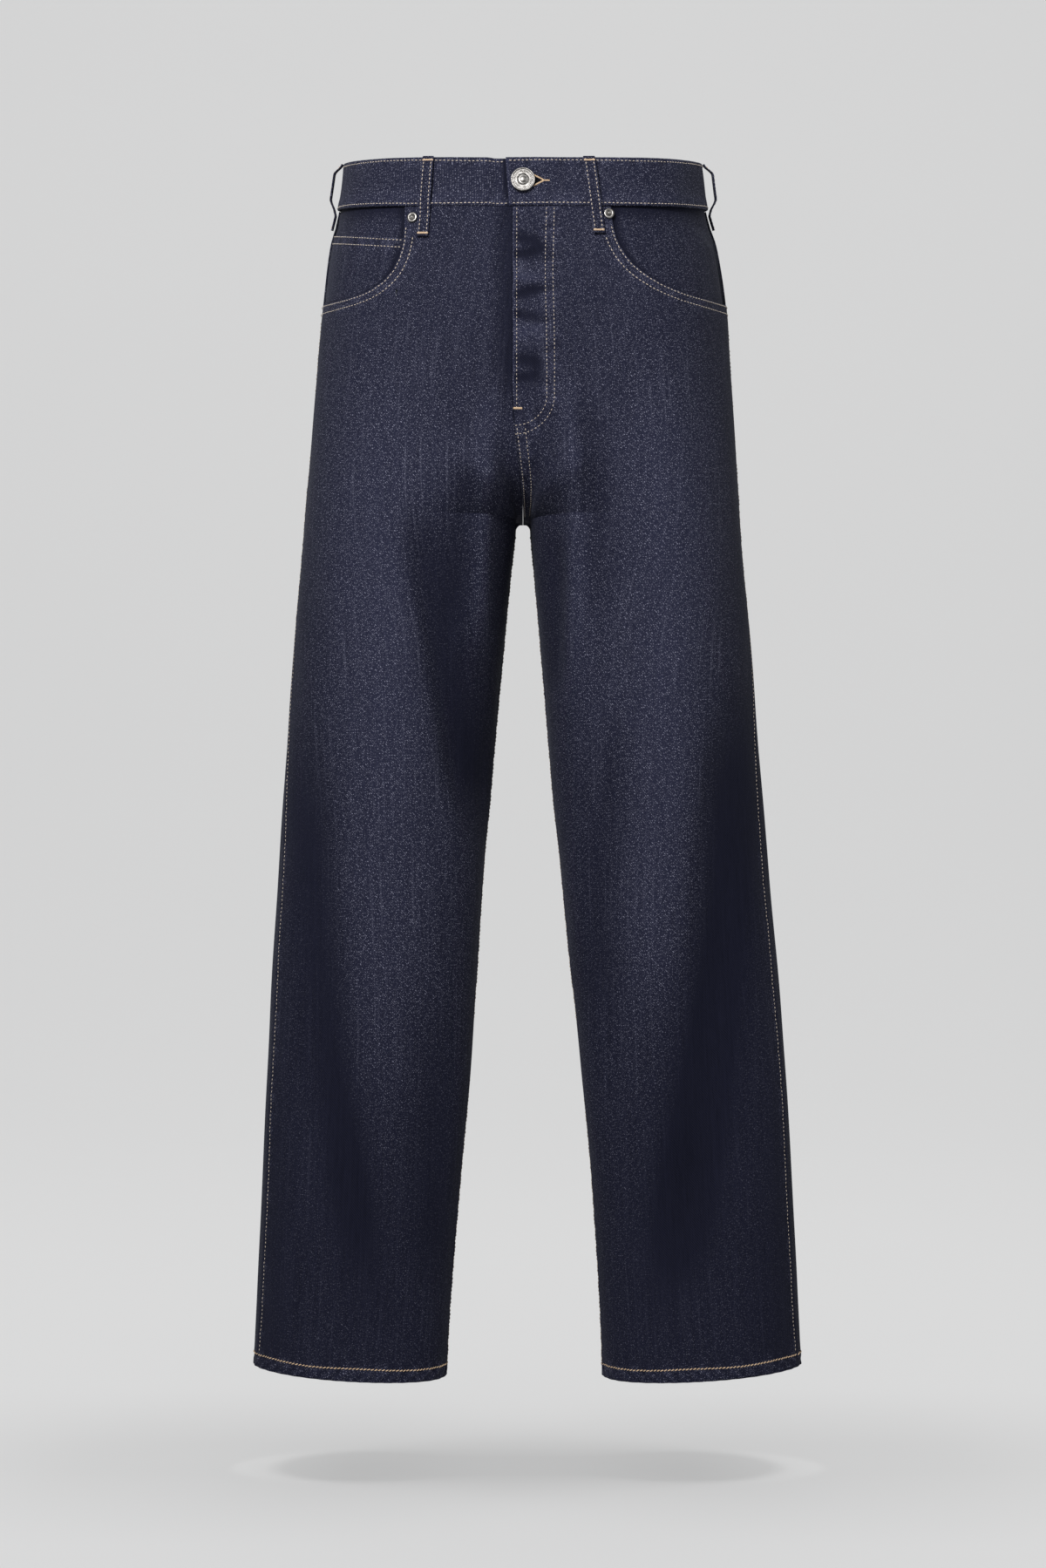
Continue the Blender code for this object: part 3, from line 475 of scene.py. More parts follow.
# ---------------------------------------------------------------- finishes
class Nodes:
    """Short hand for building a material's node tree."""

    def __init__(self, name: str) -> None:
        """Makes an empty material with an output and a Principled shader."""
        self.material = bpy.data.materials.new(name)
        self.material.use_nodes = True
        self.tree = self.material.node_tree
        self.shader = self.tree.nodes["Principled BSDF"]

    def add(self, kind: str, **settings) -> bpy.types.Node:
        """Adds a node and sets its properties."""
        node = self.tree.nodes.new(kind)
        for key, value in settings.items():
            setattr(node, key, value)
        return node

    def put(self, socket: bpy.types.NodeSocket, value) -> None:
        """Links a socket to another, or sets its value."""
        if isinstance(value, bpy.types.NodeSocket):
            self.tree.links.new(value, socket)
        else:
            socket.default_value = value

    def math(self, operation: str, a, b=0.0, c=0.0, clamp: bool = False) -> bpy.types.NodeSocket:
        """One math node."""
        node = self.add("ShaderNodeMath", operation=operation, use_clamp=clamp)
        for i, value in enumerate((a, b, c)):
            self.put(node.inputs[i], value)
        return node.outputs[0]

    def blend(self, share, a, b, mode: str = "MIX") -> bpy.types.NodeSocket:
        """Mixes two colours."""
        node = self.add("ShaderNodeMix", data_type="RGBA", blend_type=mode, clamp_factor=True)
        self.put(node.inputs[0], share)
        self.put(node.inputs[6], a)
        self.put(node.inputs[7], b)
        return node.outputs[2]

    def ramp(self, value, low: float, high: float) -> bpy.types.NodeSocket:
        """0 below low, 1 above high."""
        node = self.add("ShaderNodeMapRange", interpolation_type="SMOOTHSTEP")
        self.put(node.inputs[0], value)
        node.inputs[1].default_value, node.inputs[2].default_value = low, high
        return node.outputs[0]

    def stretched(self, source, scale: tuple[float, float, float], turn: float = 0.0) -> bpy.types.NodeSocket:
        """A Mapping node: source turned and scaled."""
        node = self.add("ShaderNodeMapping")
        self.put(node.inputs["Vector"], source)
        node.inputs["Rotation"].default_value = (0.0, 0.0, turn)
        node.inputs["Scale"].default_value = scale
        return node.outputs[0]

    def noise(self, source, scale: float, detail: float = 2.0, rough: float = 0.5) -> bpy.types.NodeSocket:
        """A noise value from 0 to 1."""
        node = self.add("ShaderNodeTexNoise", noise_dimensions="3D")
        self.put(node.inputs["Vector"], source)
        node.inputs["Scale"].default_value = scale
        node.inputs["Detail"].default_value = detail
        node.inputs["Roughness"].default_value = rough
        return node.outputs["Fac"]


Colour = tuple[float, float, float]


def rgba(colour: Colour) -> tuple[float, float, float, float]:
    """A colour with its alpha."""
    return (*colour, 1.0)


@dataclass(frozen=True)
class Denim:
    """Indigo warp-faced twill: steep diagonal ribs, slubby warp, pale flecks of weft, colour
    abraded where it stands proud, paler with painted light and darker with painted shade."""

    name: str
    deep: Colour
    indigo: Colour
    # The pale colour of abraded cloth, also used for painted light.
    worn_and_lit: Colour
    fleck: Colour
    rib: float = 0.0015
    flecks: float = 0.75
    wale_turn: float = math.radians(-48)
    relief: float = 0.5

    def make(self) -> bpy.types.Material:
        """The material."""
        n = Nodes(self.name)
        uv = n.add("ShaderNodeUVMap", uv_map="cloth").outputs[0]
        wear_and_shading = n.add("ShaderNodeAttribute", attribute_name="wear_and_shading").outputs["Fac"]
        wobble = n.noise(n.stretched(uv, (1.0, 0.35, 1.0)), 60.0, 2.0)
        across = n.stretched(uv, (1.0, 1.0, 1.0), -self.wale_turn)
        split = n.add("ShaderNodeSeparateXYZ")
        n.put(split.inputs[0], across)
        phase = n.math("MULTIPLY_ADD", wobble, self.rib * 0.9, split.outputs[1])
        ribs = n.math("SINE", n.math("MULTIPLY", phase, 2 * math.pi / self.rib))
        ribs = n.math("MULTIPLY_ADD", ribs, 0.5, 0.5)
        warp = n.noise(n.stretched(uv, (1500.0, 60.0, 1.0)), 1.0, 3.0, 0.6)
        slub = n.noise(n.stretched(uv, (420.0, 9.0, 1.0)), 1.0, 3.0, 0.55)
        weft = n.noise(n.stretched(uv, (260.0, 1300.0, 1.0)), 1.0, 2.0, 0.6)
        cloud = n.noise(n.stretched(uv, (14.0, 7.0, 1.0)), 1.0, 4.0, 0.6)
        pale = n.math("MULTIPLY", n.ramp(weft, 0.38, 0.64), n.ramp(ribs, 0.85, 0.10))
        speck = n.noise(n.stretched(uv, (1250.0, 760.0, 1.0)), 1.0, 1.0, 0.5)
        pale = n.math("MULTIPLY", pale, n.math("MULTIPLY", n.ramp(speck, 0.50, 0.64), 1.7))
        pale = n.math("ADD", pale, n.math("MULTIPLY", n.ramp(slub, 0.56, 0.78), 0.16))
        shade = n.math("ADD", n.math("MULTIPLY", ribs, 0.45), n.math("MULTIPLY", warp, 0.75))
        shade = n.math("ADD", shade, n.math("MULTIPLY", slub, 0.50))
        shade = n.math("ADD", shade, n.math("MULTIPLY", cloud, 0.35))
        ground = n.blend(n.ramp(shade, 0.55, 1.35), rgba(self.deep), rgba(self.indigo))
        # Paler where the cloth is abraded and where painted light is laid on.
        rubbed_and_lit = n.math("MULTIPLY", wear_and_shading, n.math("MULTIPLY_ADD", shade, 0.75, 0.25), clamp=True)
        colour = n.blend(rubbed_and_lit, ground, rgba(self.worn_and_lit))
        shown = n.math("MULTIPLY", n.math("MULTIPLY_ADD", wear_and_shading, 2.4, 0.60, clamp=True), self.flecks)
        colour = n.blend(n.math("MULTIPLY", pale, shown, clamp=True), colour, rgba(self.fleck))
        # Painted shade: where the shading attribute is minus, the colour darkens towards near black.
        shaded = n.math("MULTIPLY", wear_and_shading, -0.85, clamp=True)
        colour = n.blend(shaded, colour, rgba(tuple(0.2 * c for c in self.deep)))
        n.put(n.shader.inputs["Base Color"], colour)
        height = n.math("ADD", n.math("MULTIPLY", ribs, 0.6), n.math("MULTIPLY", warp, 0.5))
        height = n.math("ADD", height, n.math("MULTIPLY", slub, 0.5))
        bump = n.add("ShaderNodeBump")
        bump.inputs["Strength"].default_value = self.relief
        bump.inputs["Distance"].default_value = 0.0004
        n.put(bump.inputs["Height"], height)
        n.put(n.shader.inputs["Normal"], bump.outputs[0])
        n.put(n.shader.inputs["Roughness"], n.math("MULTIPLY_ADD", shade, -0.12, 0.93, clamp=True))
        n.shader.inputs["Specular IOR Level"].default_value = 0.06
        n.shader.inputs["Sheen Weight"].default_value = 0.02
        n.shader.inputs["Sheen Roughness"].default_value = 0.45
        n.shader.inputs["Sheen Tint"].default_value = (0.62, 0.68, 0.85, 1.0)
        return n.material


@dataclass(frozen=True)
class Thread:
    """Twisted sewing thread."""

    name: str
    colour: Colour
    shadow: Colour

    def make(self) -> bpy.types.Material:
        """The material."""
        n = Nodes(self.name)
        at = n.add("ShaderNodeTexCoord").outputs["Object"]
        tone = n.noise(at, 900.0, 2.0)
        long_tone = n.noise(at, 55.0, 2.0)
        share = n.math("ADD", n.math("MULTIPLY", tone, 0.6), n.math("MULTIPLY", long_tone, 0.6), clamp=True)
        n.put(n.shader.inputs["Base Color"], n.blend(share, rgba(self.shadow), rgba(self.colour)))
        bump = n.add("ShaderNodeBump")
        bump.inputs["Strength"].default_value = 0.4
        bump.inputs["Distance"].default_value = 0.0002
        n.put(bump.inputs["Height"], n.noise(at, 2600.0, 1.0))
        n.put(n.shader.inputs["Normal"], bump.outputs[0])
        n.shader.inputs["Roughness"].default_value = 0.62
        n.shader.inputs["Sheen Weight"].default_value = 0.15
        return n.material


@dataclass(frozen=True)
class Nickel:
    """Satin nickel plate, darker in random patches, with a fine grain in its roughness."""

    name: str
    colour: Colour = (0.24, 0.23, 0.22)
    dull: Colour = (0.10, 0.095, 0.09)

    def make(self) -> bpy.types.Material:
        """The material."""
        n = Nodes(self.name)
        at = n.add("ShaderNodeTexCoord").outputs["Object"]
        grain = n.noise(at, 1400.0, 3.0, 0.6)
        patch = n.noise(at, 260.0, 3.0, 0.6)
        colour = n.blend(n.ramp(patch, 0.35, 0.7), rgba(self.dull), rgba(self.colour))
        n.put(n.shader.inputs["Base Color"], colour)
        n.put(n.shader.inputs["Roughness"], n.math("MULTIPLY_ADD", grain, 0.20, 0.30))
        n.shader.inputs["Metallic"].default_value = 1.0
        bump = n.add("ShaderNodeBump")
        bump.inputs["Strength"].default_value = 0.15
        bump.inputs["Distance"].default_value = 0.0001
        n.put(bump.inputs["Height"], grain)
        n.put(n.shader.inputs["Normal"], bump.outputs[0])
        return n.material


@dataclass
class Finishes:
    """Every material, made once."""

    denim: bpy.types.Material = field(init=False)
    inside: bpy.types.Material = field(init=False)
    ecru: bpy.types.Material = field(init=False)
    tan: bpy.types.Material = field(init=False)
    nickel: bpy.types.Material = field(init=False)

    def __post_init__(self) -> None:
        """Makes the materials."""
        self.denim = Denim("indigo denim", (0.0020, 0.0023, 0.0066), (0.0068, 0.0074, 0.0170),
                           (0.022, 0.0237, 0.047), (0.135, 0.137, 0.180)).make()
        self.inside = Denim("inside of the denim", (0.10, 0.11, 0.14), (0.17, 0.18, 0.22),
                            (0.25, 0.26, 0.30), (0.40, 0.40, 0.42), flecks=0.9).make()
        self.ecru = Thread("ecru thread", (0.40, 0.34, 0.28), (0.20, 0.165, 0.13)).make()
        self.tan = Thread("tan thread", (0.42, 0.30, 0.185), (0.20, 0.125, 0.065)).make()
        self.nickel = Nickel("satin nickel").make()


# ---------------------------------------------------------------- laying cloth
Surface = Callable[[Side, Array, Array], Array]


class Layer(Enum):
    """The pieces that a row of stitches draws in."""

    FRONT = "front"
    BACK = "back"
    YOKE = "yoke"
    FACING = "facing"
    COIN = "coin"
    BAND = "band"
    PATCH = "patch"
    LOOP = "loop"


@dataclass
class Row:
    """A row of stitches along the form, and the surface that it lies on."""

    layer: Layer
    side: Side
    along: Array
    level: Array
    surface: Surface
    pucker: float = 0.00026
    reach: float = 0.0034
    seed: float = 0.0

    def dense(self, step: float = 0.0012) -> tuple[Array, Array, Array]:
        """Points a step apart: along, level and the distance run."""
        steps = np.hypot(np.diff(self.along), np.diff(self.level))
        run = np.concatenate([[0.0], np.cumsum(steps)])
        even = np.linspace(0, run[-1], max(2, int(run[-1] / step)))
        return np.interp(even, run, self.along), np.interp(even, run, self.level), even

    def relief(self, along: Array, level: Array) -> tuple[Array, Array]:
        """The puckers that the row draws into the cloth round it.

        Args:
            along: where the cloth's points lie, on the row's own side.
            level: their levels.

        Returns:
            Metres outwards, and wear.
        """
        depth, wear_and_shading = np.zeros(along.size), np.zeros(along.size)
        a, l, run = self.dense()
        margin = 4 * self.reach
        near = (
            (along > a.min() - margin) & (along < a.max() + margin)
            & (level > l.min() - margin) & (level < l.max() + margin)
        )
        index = np.nonzero(near)[0]
        for start in range(0, len(index), 4000):
            part = index[start:start + 4000]
            gap = np.hypot(along[part, None] - a[None], level[part, None] - l[None])
            nearest = gap.argmin(1)
            d, r = gap[np.arange(len(part)), nearest], run[nearest] + self.seed
            wave = (
                np.sin(r / 0.00155) * 0.35 + np.sin(r / 0.0023 + 1.3) * 0.5 + np.sin(r / 0.0047 + 0.4) * 0.35
                + np.sin(r / 0.0113) * 0.25
            )
            depth[part] = (self.pucker * wave - 0.00012) * bell(d, self.reach)
            wear_and_shading[part] = np.clip(wave, -0.7, 1.2) * 0.20 * bell(d, self.reach) + 0.05 * bell(d, self.reach)
        return depth, wear_and_shading


def stadium(low: float, high: float, middle: float, half: float, outer: int,
            inner: int) -> tuple[Array, Array]:
    """The closed outline of a folded strip: up its outer face, round the fold, down the inner face.

    Args:
        low: one edge of the strip.
        high: the other edge.
        middle: depth of its middle.
        half: half its thickness.
        outer: points on the outer face.
        inner: points on the inner face.

    Returns:
        Places from low to high, and depths.
    """
    turn = np.radians(np.array([65.0, 35.0, 0.0, -35.0, -65.0]))
    face = np.linspace(low + half, high - half, outer)
    back = np.linspace(high - half, low + half, inner)
    place = np.concatenate([face, high - half + half * np.cos(turn), back, low + half - half * np.cos(turn)])
    depth = np.concatenate([
        np.full(outer, half), half * np.sin(turn), np.full(inner, -half), -half * np.sin(turn),
    ])
    return place, middle + depth


@dataclass
class Tailor:
    """Lays pieces on the form, dresses them and signs them in."""

    form: Form
    finishes: Finishes
    rows: list[Row] = field(default_factory=list)

    def relief(self, layer: Layer, side: Side, along: Array, level: Array) -> tuple[Array, Array]:
        """The relief of every stitch row on one side of one layer, at each point."""
        depth, wear_and_shading = np.zeros(along.size), np.zeros(along.size)
        for row in self.rows:
            if row.side is side and row.layer is layer:
                d, w = row.relief(along.ravel(), level.ravel())
                depth, wear_and_shading = depth + d, wear_and_shading + w
        return depth.reshape(along.shape), wear_and_shading.reshape(along.shape)

    def ripple(self, side: Side, along: Array, level: Array) -> Array:
        """The slight unevenness of worn-in cloth."""
        along = along - self.form.outseam(side, level)
        return (
            0.00022 * np.sin(along / 0.0095 + 2.1 * np.sin(level / 0.045))
            + 0.00020 * np.sin(level / 0.0210 + 1.7 * np.sin(along / 0.021 + 0.8))
            + 0.00030 * np.sin(along / 0.0170 - level / 0.060 + 1.1)
        )

    def mesh(self, name: str, side: Side, along: Array, level: Array, depth: Array | float,
             wear_and_shading: Array | float, joined: bool) -> tuple[bpy.types.Mesh, Array]:
        """A grid of points on the form.

        Args:
            name: the mesh's name.
            side: the side that along is measured on.
            along: rows x columns.
            level: rows x columns.
            depth: how far the grid lies from the form.
            wear_and_shading: where plus, how much paler it is from abrasion and painted light; where minus,
                how dark its painted shade makes it.
            joined: whether edges that meet are joined.

        Returns:
            The mesh and its points.
        """
        along, level = np.broadcast_arrays(np.asarray(along, float), np.asarray(level, float))
        depth = np.broadcast_to(depth, along.shape)
        wear_and_shading = np.broadcast_to(wear_and_shading, along.shape).ravel()
        here, normal = self.form.frame(side, along, level)
        points = here + normal * depth[..., None]
        rows, columns = along.shape
        data = bmesh.new()
        bmesh.ops.create_grid(data, x_segments=columns - 1, y_segments=rows - 1, size=0.5)
        uv = data.loops.layers.uv.new("cloth")
        # A vertex attribute of abrasion together with painted light and painted shade.
        worn_and_lit = data.verts.layers.float.new("wear_and_shading")
        data.verts.ensure_lookup_table()
        across = side.value * (along - self.form.outseam(side, level))
        flat = np.stack([across.ravel(), level.ravel()], -1).tolist()
        for vert, place, value in zip(data.verts, points.reshape(-1, 3).tolist(), wear_and_shading.tolist()):
            vert.co = place
            vert[worn_and_lit] = value
        for face in data.faces:
            for corner in face.loops:
                corner[uv].uv = flat[corner.vert.index]
        data.faces.ensure_lookup_table()
        row, column = (0, 0) if joined else (rows // 2, columns // 2)
        probe = data.faces[row * (columns - 1) + column]
        probe.normal_update()
        if probe.normal.dot(Vector(normal[row, column])) < 0:
            bmesh.ops.reverse_faces(data, faces=data.faces[:])
        if joined:
            bmesh.ops.remove_doubles(data, verts=data.verts[:], dist=1e-6)
            bmesh.ops.holes_fill(data, edges=[e for e in data.edges if e.is_boundary], sides=0)
        mesh = bpy.data.meshes.new(name)
        data.to_mesh(mesh)
        data.free()
        mesh.shade_smooth()
        mesh.materials.append(self.finishes.denim)
        mesh.materials.append(self.finishes.inside)
        return mesh, points

    def shell(self, node: str, side: Side, along: Array, level: Array, depth: Array | float,
              thickness: float, wear_and_shading: Array | float, hangs_from: Sequence[str]) -> bpy.types.Object:
        """A single layer of cloth on the form, its thickness inwards.

        Args:
            node: the node that it replaces, which its name ends in.
            side: the side that along is measured on.
            along: rows x columns.
            level: rows x columns.
            depth: how far its outside lies from the form.
            thickness: of the cloth.
            wear_and_shading: as for a mesh.
            hangs_from: not used; it is only passed on to declare, which does nothing.

        Returns:
            The piece.
        """
        name = "jeans_" + node
        mesh, points = self.mesh(name, side, along, level, depth, wear_and_shading, joined=False)
        piece = bpy.data.objects.new(name, mesh)
        wall = piece.modifiers.new("wall", "SOLIDIFY")
        wall.thickness = thickness
        wall.offset = -1.0
        wall.material_offset = 1
        wall.use_quality_normals = True
        self.sign_in(piece, "denim", node)
        self.declare(piece, points, "hung", hangs_from)
        return piece

    def strip(self, node: str, side: Side, along: Array, level: Array, depth: Array,
              wear_and_shading: Array | float, hangs_from: Sequence[str], outer: int) -> bpy.types.Object:
        """A folded strip: each column goes round the closed outline once, its outer face first.

        Args:
            node: the node that it replaces, which its name ends in.
            side: the side that along is measured on.
            along: places round the outline x columns.
            level: places round the outline x columns.
            depth: how far each place lies from the form.
            wear_and_shading: as for a mesh.
            hangs_from: not used; it is only passed on to declare, which does nothing.
            outer: not used; it only picks the points passed on to declare, which does nothing.

        Returns:
            The piece.
        """
        name = "jeans_" + node
        shape = np.broadcast_shapes(np.shape(along), np.shape(level), np.shape(depth))
        grids = [np.broadcast_to(grid, shape) for grid in (along, level, depth, wear_and_shading)]
        along, level, depth, wear_and_shading = (np.concatenate([grid, grid[:1]], axis=0) for grid in grids)
        mesh, points = self.mesh(name, side, along, level, depth, wear_and_shading, joined=True)
        piece = self.sign_in(bpy.data.objects.new(name, mesh), "denim", node)
        self.declare(piece, points[:outer], "folded", hangs_from)
        return piece

    @staticmethod
    def declare(piece: bpy.types.Object, points: Array, held: str, hangs_from: Sequence[str]) -> None:
        """Does nothing with the sheet; its flat cut is not stated.

        Args:
            piece: not used.
            points: not used.
            held: not used.
            hangs_from: not used.
        """

    @staticmethod
    def sign_in(piece: bpy.types.Object, slot: str, node: str | None = None) -> bpy.types.Object:
        """Puts a piece in the scene, on the body and in place of its node."""
        bpy.context.scene.collection.objects.link(piece)
        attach(piece, BODY)
        if node:
            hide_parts(node)
        log.info("%s: %d faces", piece.name, len(piece.data.polygons))
        return piece

    def copies(self, name: str, one: bmesh.types.BMesh, frames: Array, material: bpy.types.Material,
               slot: str) -> bpy.types.Object:
        """Many copies of one small shape, joined into a single mesh.

        Args:
            name: the piece's name.
            one: the shape, freed afterwards.
            frames: copies x 4 x 3: the shape's X, Y and Z ways, and its place.
            material: its finish.
            slot: not used; it is only passed on to sign_in, which does not read it.

        Returns:
            The piece.
        """
        small = bpy.data.meshes.new(name + ".one")
        one.to_mesh(small)
        one.free()
        shape = np.empty(len(small.vertices) * 3)
        small.vertices.foreach_get("co", shape)
        shape = shape.reshape(-1, 3)
        data = bmesh.new()
        for _ in range(len(frames)):
            data.from_mesh(small)
        mesh = bpy.data.meshes.new(name)
        data.to_mesh(mesh)
        data.free()
        bpy.data.meshes.remove(small)
        placed = np.einsum("vk,nkc->nvc", shape, frames[:, :3]) + frames[:, 3][:, None]
        mesh.vertices.foreach_set("co", placed.ravel())
        mesh.update()
        mesh.shade_smooth()
        mesh.materials.append(material)
        return self.sign_in(bpy.data.objects.new(name, mesh), slot)

    def sew(self, name: str, rows: Sequence[Row], material: bpy.types.Material, pitch: float = 0.0034,
            length: float = 0.0027, width: float = 0.00082, slant: float = 0.0) -> bpy.types.Object:
        """Rows of stitches on the outside of the cloth.

        Args:
            name: the piece's name.
            rows: the rows.
            material: the thread.
            pitch: from one stitch to the next.
            length: of the thread that shows.
            width: of the thread.
            slant: turns each stitch across its row, in radians.

        Returns:
            The piece.
        """
        frames = []
        for row in rows:
            a, l, _ = row.dense(0.0006)
            here, normal = self.form.frame(row.side, a, l)
            depth = row.surface(row.side, a, l) + self.relief(row.layer, row.side, a, l)[0]
            places = here + normal * (depth + 0.00008)[:, None]
            run = np.concatenate([[0.0], np.cumsum(np.linalg.norm(np.diff(places, axis=0), axis=1))])
            count = max(1, int(round(run[-1] / pitch)))
            middles = (np.arange(count) + 0.5) * run[-1] / count
            spot, ahead, behind = (
                np.stack([np.interp(middles + shift, run, places[:, k]) for k in range(3)], -1)
                for shift in (0.0, 0.001, -0.001)
            )
            up = np.stack([np.interp(middles, run, normal[:, k]) for k in range(3)], -1)
            way = ahead - behind
            way /= np.linalg.norm(way, axis=1, keepdims=True)
            sideways = np.cross(up, way)
            sideways /= np.linalg.norm(sideways, axis=1, keepdims=True)
            up = np.cross(way, sideways)
            lean = slant + 0.06 * np.sin(middles * 977.0 + row.seed)[:, None]
            turned = way * np.cos(lean) + sideways * np.sin(lean)
            frames.append(np.stack([turned, np.cross(up, turned), up, spot], axis=1))
        one = bmesh.new()
        bmesh.ops.create_uvsphere(one, u_segments=6, v_segments=5, radius=0.5)
        bmesh.ops.rotate(one, verts=one.verts[:], matrix=Matrix.Rotation(math.pi / 2, 3, "Y"))
        for vert in one.verts:
            x = vert.co.x * 2
            vert.co.x = math.copysign(abs(x) ** 0.7, x) * length / 2
            vert.co.y *= width
            vert.co.z = vert.co.z * width * 0.8 + width * 0.14 * (1 - 1.6 * x * x)
        return self.copies(name, one, np.concatenate(frames), material, "denim")

    def tack(self, name: str, rows: Sequence[Row], material: bpy.types.Material,
             reach: float = 0.0019) -> None:
        """Bar tacks: close stitches laid across each row."""
        self.sew(name, rows, material, pitch=0.00046, length=reach, width=0.00055, slant=math.pi / 2)


# ---------------------------------------------------------------- sub-assemblies
@dataclass
class Panels:
    """The fronts, backs, yokes and hems, and the seams between them."""

    tailor: Tailor
    front_columns: int = 84
    back_columns: int = 66
    leg_rows: int = 285
    yoke_rows: int = 26
    hem_columns: int = 361
    closest: float = 0.0035
    turning: float = 0.0130
    mouth: dict = field(default_factory=lambda: {Side.RIGHT: (0.0965, 2.75), Side.LEFT: (0.0720, 2.10)})
    mouth_rows: tuple[float, float] = (0.0014, 0.0078)
    creases: tuple = (
        (-0.047, -0.30, -0.0013, 0.0040), (-0.066, 0.22, -0.0016, 0.0036), (-0.085, -0.15, 0.0010, 0.0050),
        (-0.103, 0.30, -0.0018, 0.0042), (-0.121, -0.25, -0.0012, 0.0034), (-0.141, 0.15, 0.0010, 0.0060),
        (-0.163, -0.20, -0.0015, 0.0045), (-0.184, 0.25, -0.0012, 0.0040),
    )
    edge_row: float = 0.0022
    second_row: float = 0.0085

    def centre_front(self, side: Side, level: Array) -> Array:
        """The fly edge, the front seam and the front of the inseam, as along on one side."""
        form = self.tailor.form
        return side.value * form.fly_edge(level) + SEAM_GAP / 2 + form.inseam(level)

    def centre_back(self, side: Side, level: Array) -> Array:
        """The seat seam and the back of the inseam, as along on one side."""
        form = self.tailor.form
        return form.lengths(side, level)[1] - SEAM_GAP / 2 + form.inseam(level)

    def front_width(self, side: Side, level: Array) -> Array:
        """The way across a front."""
        return self.tailor.form.outseam(side, level) - SEAM_GAP / 2 - self.centre_front(side, level)

    def back_width(self, side: Side, level: Array) -> Array:
        """The way across a back."""
        return self.centre_back(side, level) - self.tailor.form.outseam(side, level) - SEAM_GAP / 2

    def pocket_mouth(self, side: Side, angles: Array) -> tuple[Array, Array]:
        """Levels and places along the pocket mouth, from the waist (0) to the outseam (90 degrees)."""
        form = self.tailor.form
        from_centre, squareness = self.mouth[side]
        turn = np.radians(angles)
        level = WAIST_SEAM + (POCKET_CORNER - WAIST_SEAM) * np.sin(turn) ** (2 / squareness)
        edge = form.outseam(side, level)
        out_x = np.abs(form.skin(side, edge, level)[:, 0])
        x = out_x - (out_x - from_centre) * np.clip(np.cos(turn), 0, 1) ** (2 / squareness)
        return level, np.minimum(form.along_at(side, x, level), edge)

    def mouth_at(self, side: Side, level: Array) -> Array:
        """Where the pocket mouth lies along the section at each level."""
        mouth_level, mouth_along = self.pocket_mouth(side, np.linspace(0, 90, 181))
        return np.interp(-np.asarray(level), -mouth_level, mouth_along)

    @staticmethod
    def spaced(reach: Callable[[Array], Array], share: Array, level: Array) -> Array:
        """Distances from the outseam: even over most of a panel, with the sudden change of
        width at the fork taken up beside the fork."""
        width = reach(level)
        low, high = reach(np.array([CROTCH - 0.045, CROTCH + 0.055]))
        steady = low + (high - low) * (level - CROTCH + 0.045) / 0.10
        steady = np.where(np.abs(level - CROTCH - 0.005) < 0.05, steady, width)
        return share * steady + (width - steady) * share**5

    @staticmethod
    def edged(count: int) -> Array:
        """Shares from 0 to 1, closer together towards both ends."""
        t = np.linspace(0, 1, 400)
        crowd = 1 / (1 + 1.6 * bell(t, 0.035) + 1.6 * bell(1 - t, 0.035))
        run = np.concatenate([[0.0], np.cumsum((1 / crowd[1:] + 1 / crowd[:-1]) / 2)])
        return np.interp(np.linspace(0, 1, count), run / run[-1], t)

    def leg_levels(self, top: float) -> Array:
        """Levels from the hem up, closer together at the fork and the hem."""
        even = np.linspace(HEM + 0.0006, top, self.leg_rows - 14)
        low = HEM + 0.0006 + np.array([0.0008, 0.0017, 0.0045, 0.0058, 0.0082, 0.0095])
        fork = CROTCH - FORK_GAP * np.array([1.0, 0.9, 0.72, 0.5, 0.3, 0.15, 0.05, 0.0])
        above = CROTCH + np.array([0.0002, 0.0006, 0.0014, 0.0026, 0.0042, 0.0062])
        even = even[(even < CROTCH - FORK_GAP * 1.15) | (even > CROTCH + 0.0075)]
        return np.unique(np.concatenate([even, low, fork, above]))

    @staticmethod
    def rope(along: Array, level: Array) -> tuple[Array, Array]:
        """The slanted ridges of a hem that was stitched while it crept."""
        within = smooth((HEM + 0.0125 - level) / 0.003) * smooth((level - HEM + 0.001) / 0.002)
        phase = (along + 1.1 * (level - HEM)) / 0.0019 + 1.2 * np.sin(along / 0.017)
        return 0.00042 * within * np.sin(phase), 0.16 * within * (np.sin(phase) > 0.3) + 0.05 * within

    def front_lift(self, side: Side, along: Array, level: Array) -> Array:
        """The seam allowances, the fly facing and the uneven cloth of a front."""
        form = self.tailor.form
        from_outseam = form.outseam(side, level) - SEAM_GAP / 2 - along
        from_start = along - self.centre_front(side, level)
        lift = ALLOWANCE_LIFT * smooth(1 - from_outseam / ALLOWANCE) ** 0.5
        lift = lift + 0.0004 * smooth(1 - from_start / 0.006) ** 0.5 * smooth((-0.19 - level) / 0.01)
        lift = lift + self.tailor.ripple(side, along, level) + self.rope(along, level)[0]
        if side is Side.LEFT:
            placket = smooth((0.040 - from_start) / 0.004)
            placket = placket * smooth((level + 0.232 - 0.5 * from_start) / 0.008)
            lift = lift + 0.0007 * placket
            lift = lift + self.fly_creases(from_start, level)
        return lift

    def fly_creases(self, from_edge: Array, level: Array) -> Array:
        """The short creases across the fly, where it bends over its stiff facing."""
        total = np.zeros_like(level)
        for at, lean, height, width in self.creases:
            bend = level - at - lean * from_edge
            total = total + height * bell(bend, width) * smooth((0.033 - from_edge) / 0.016)
        return total * smooth(from_edge / 0.003)

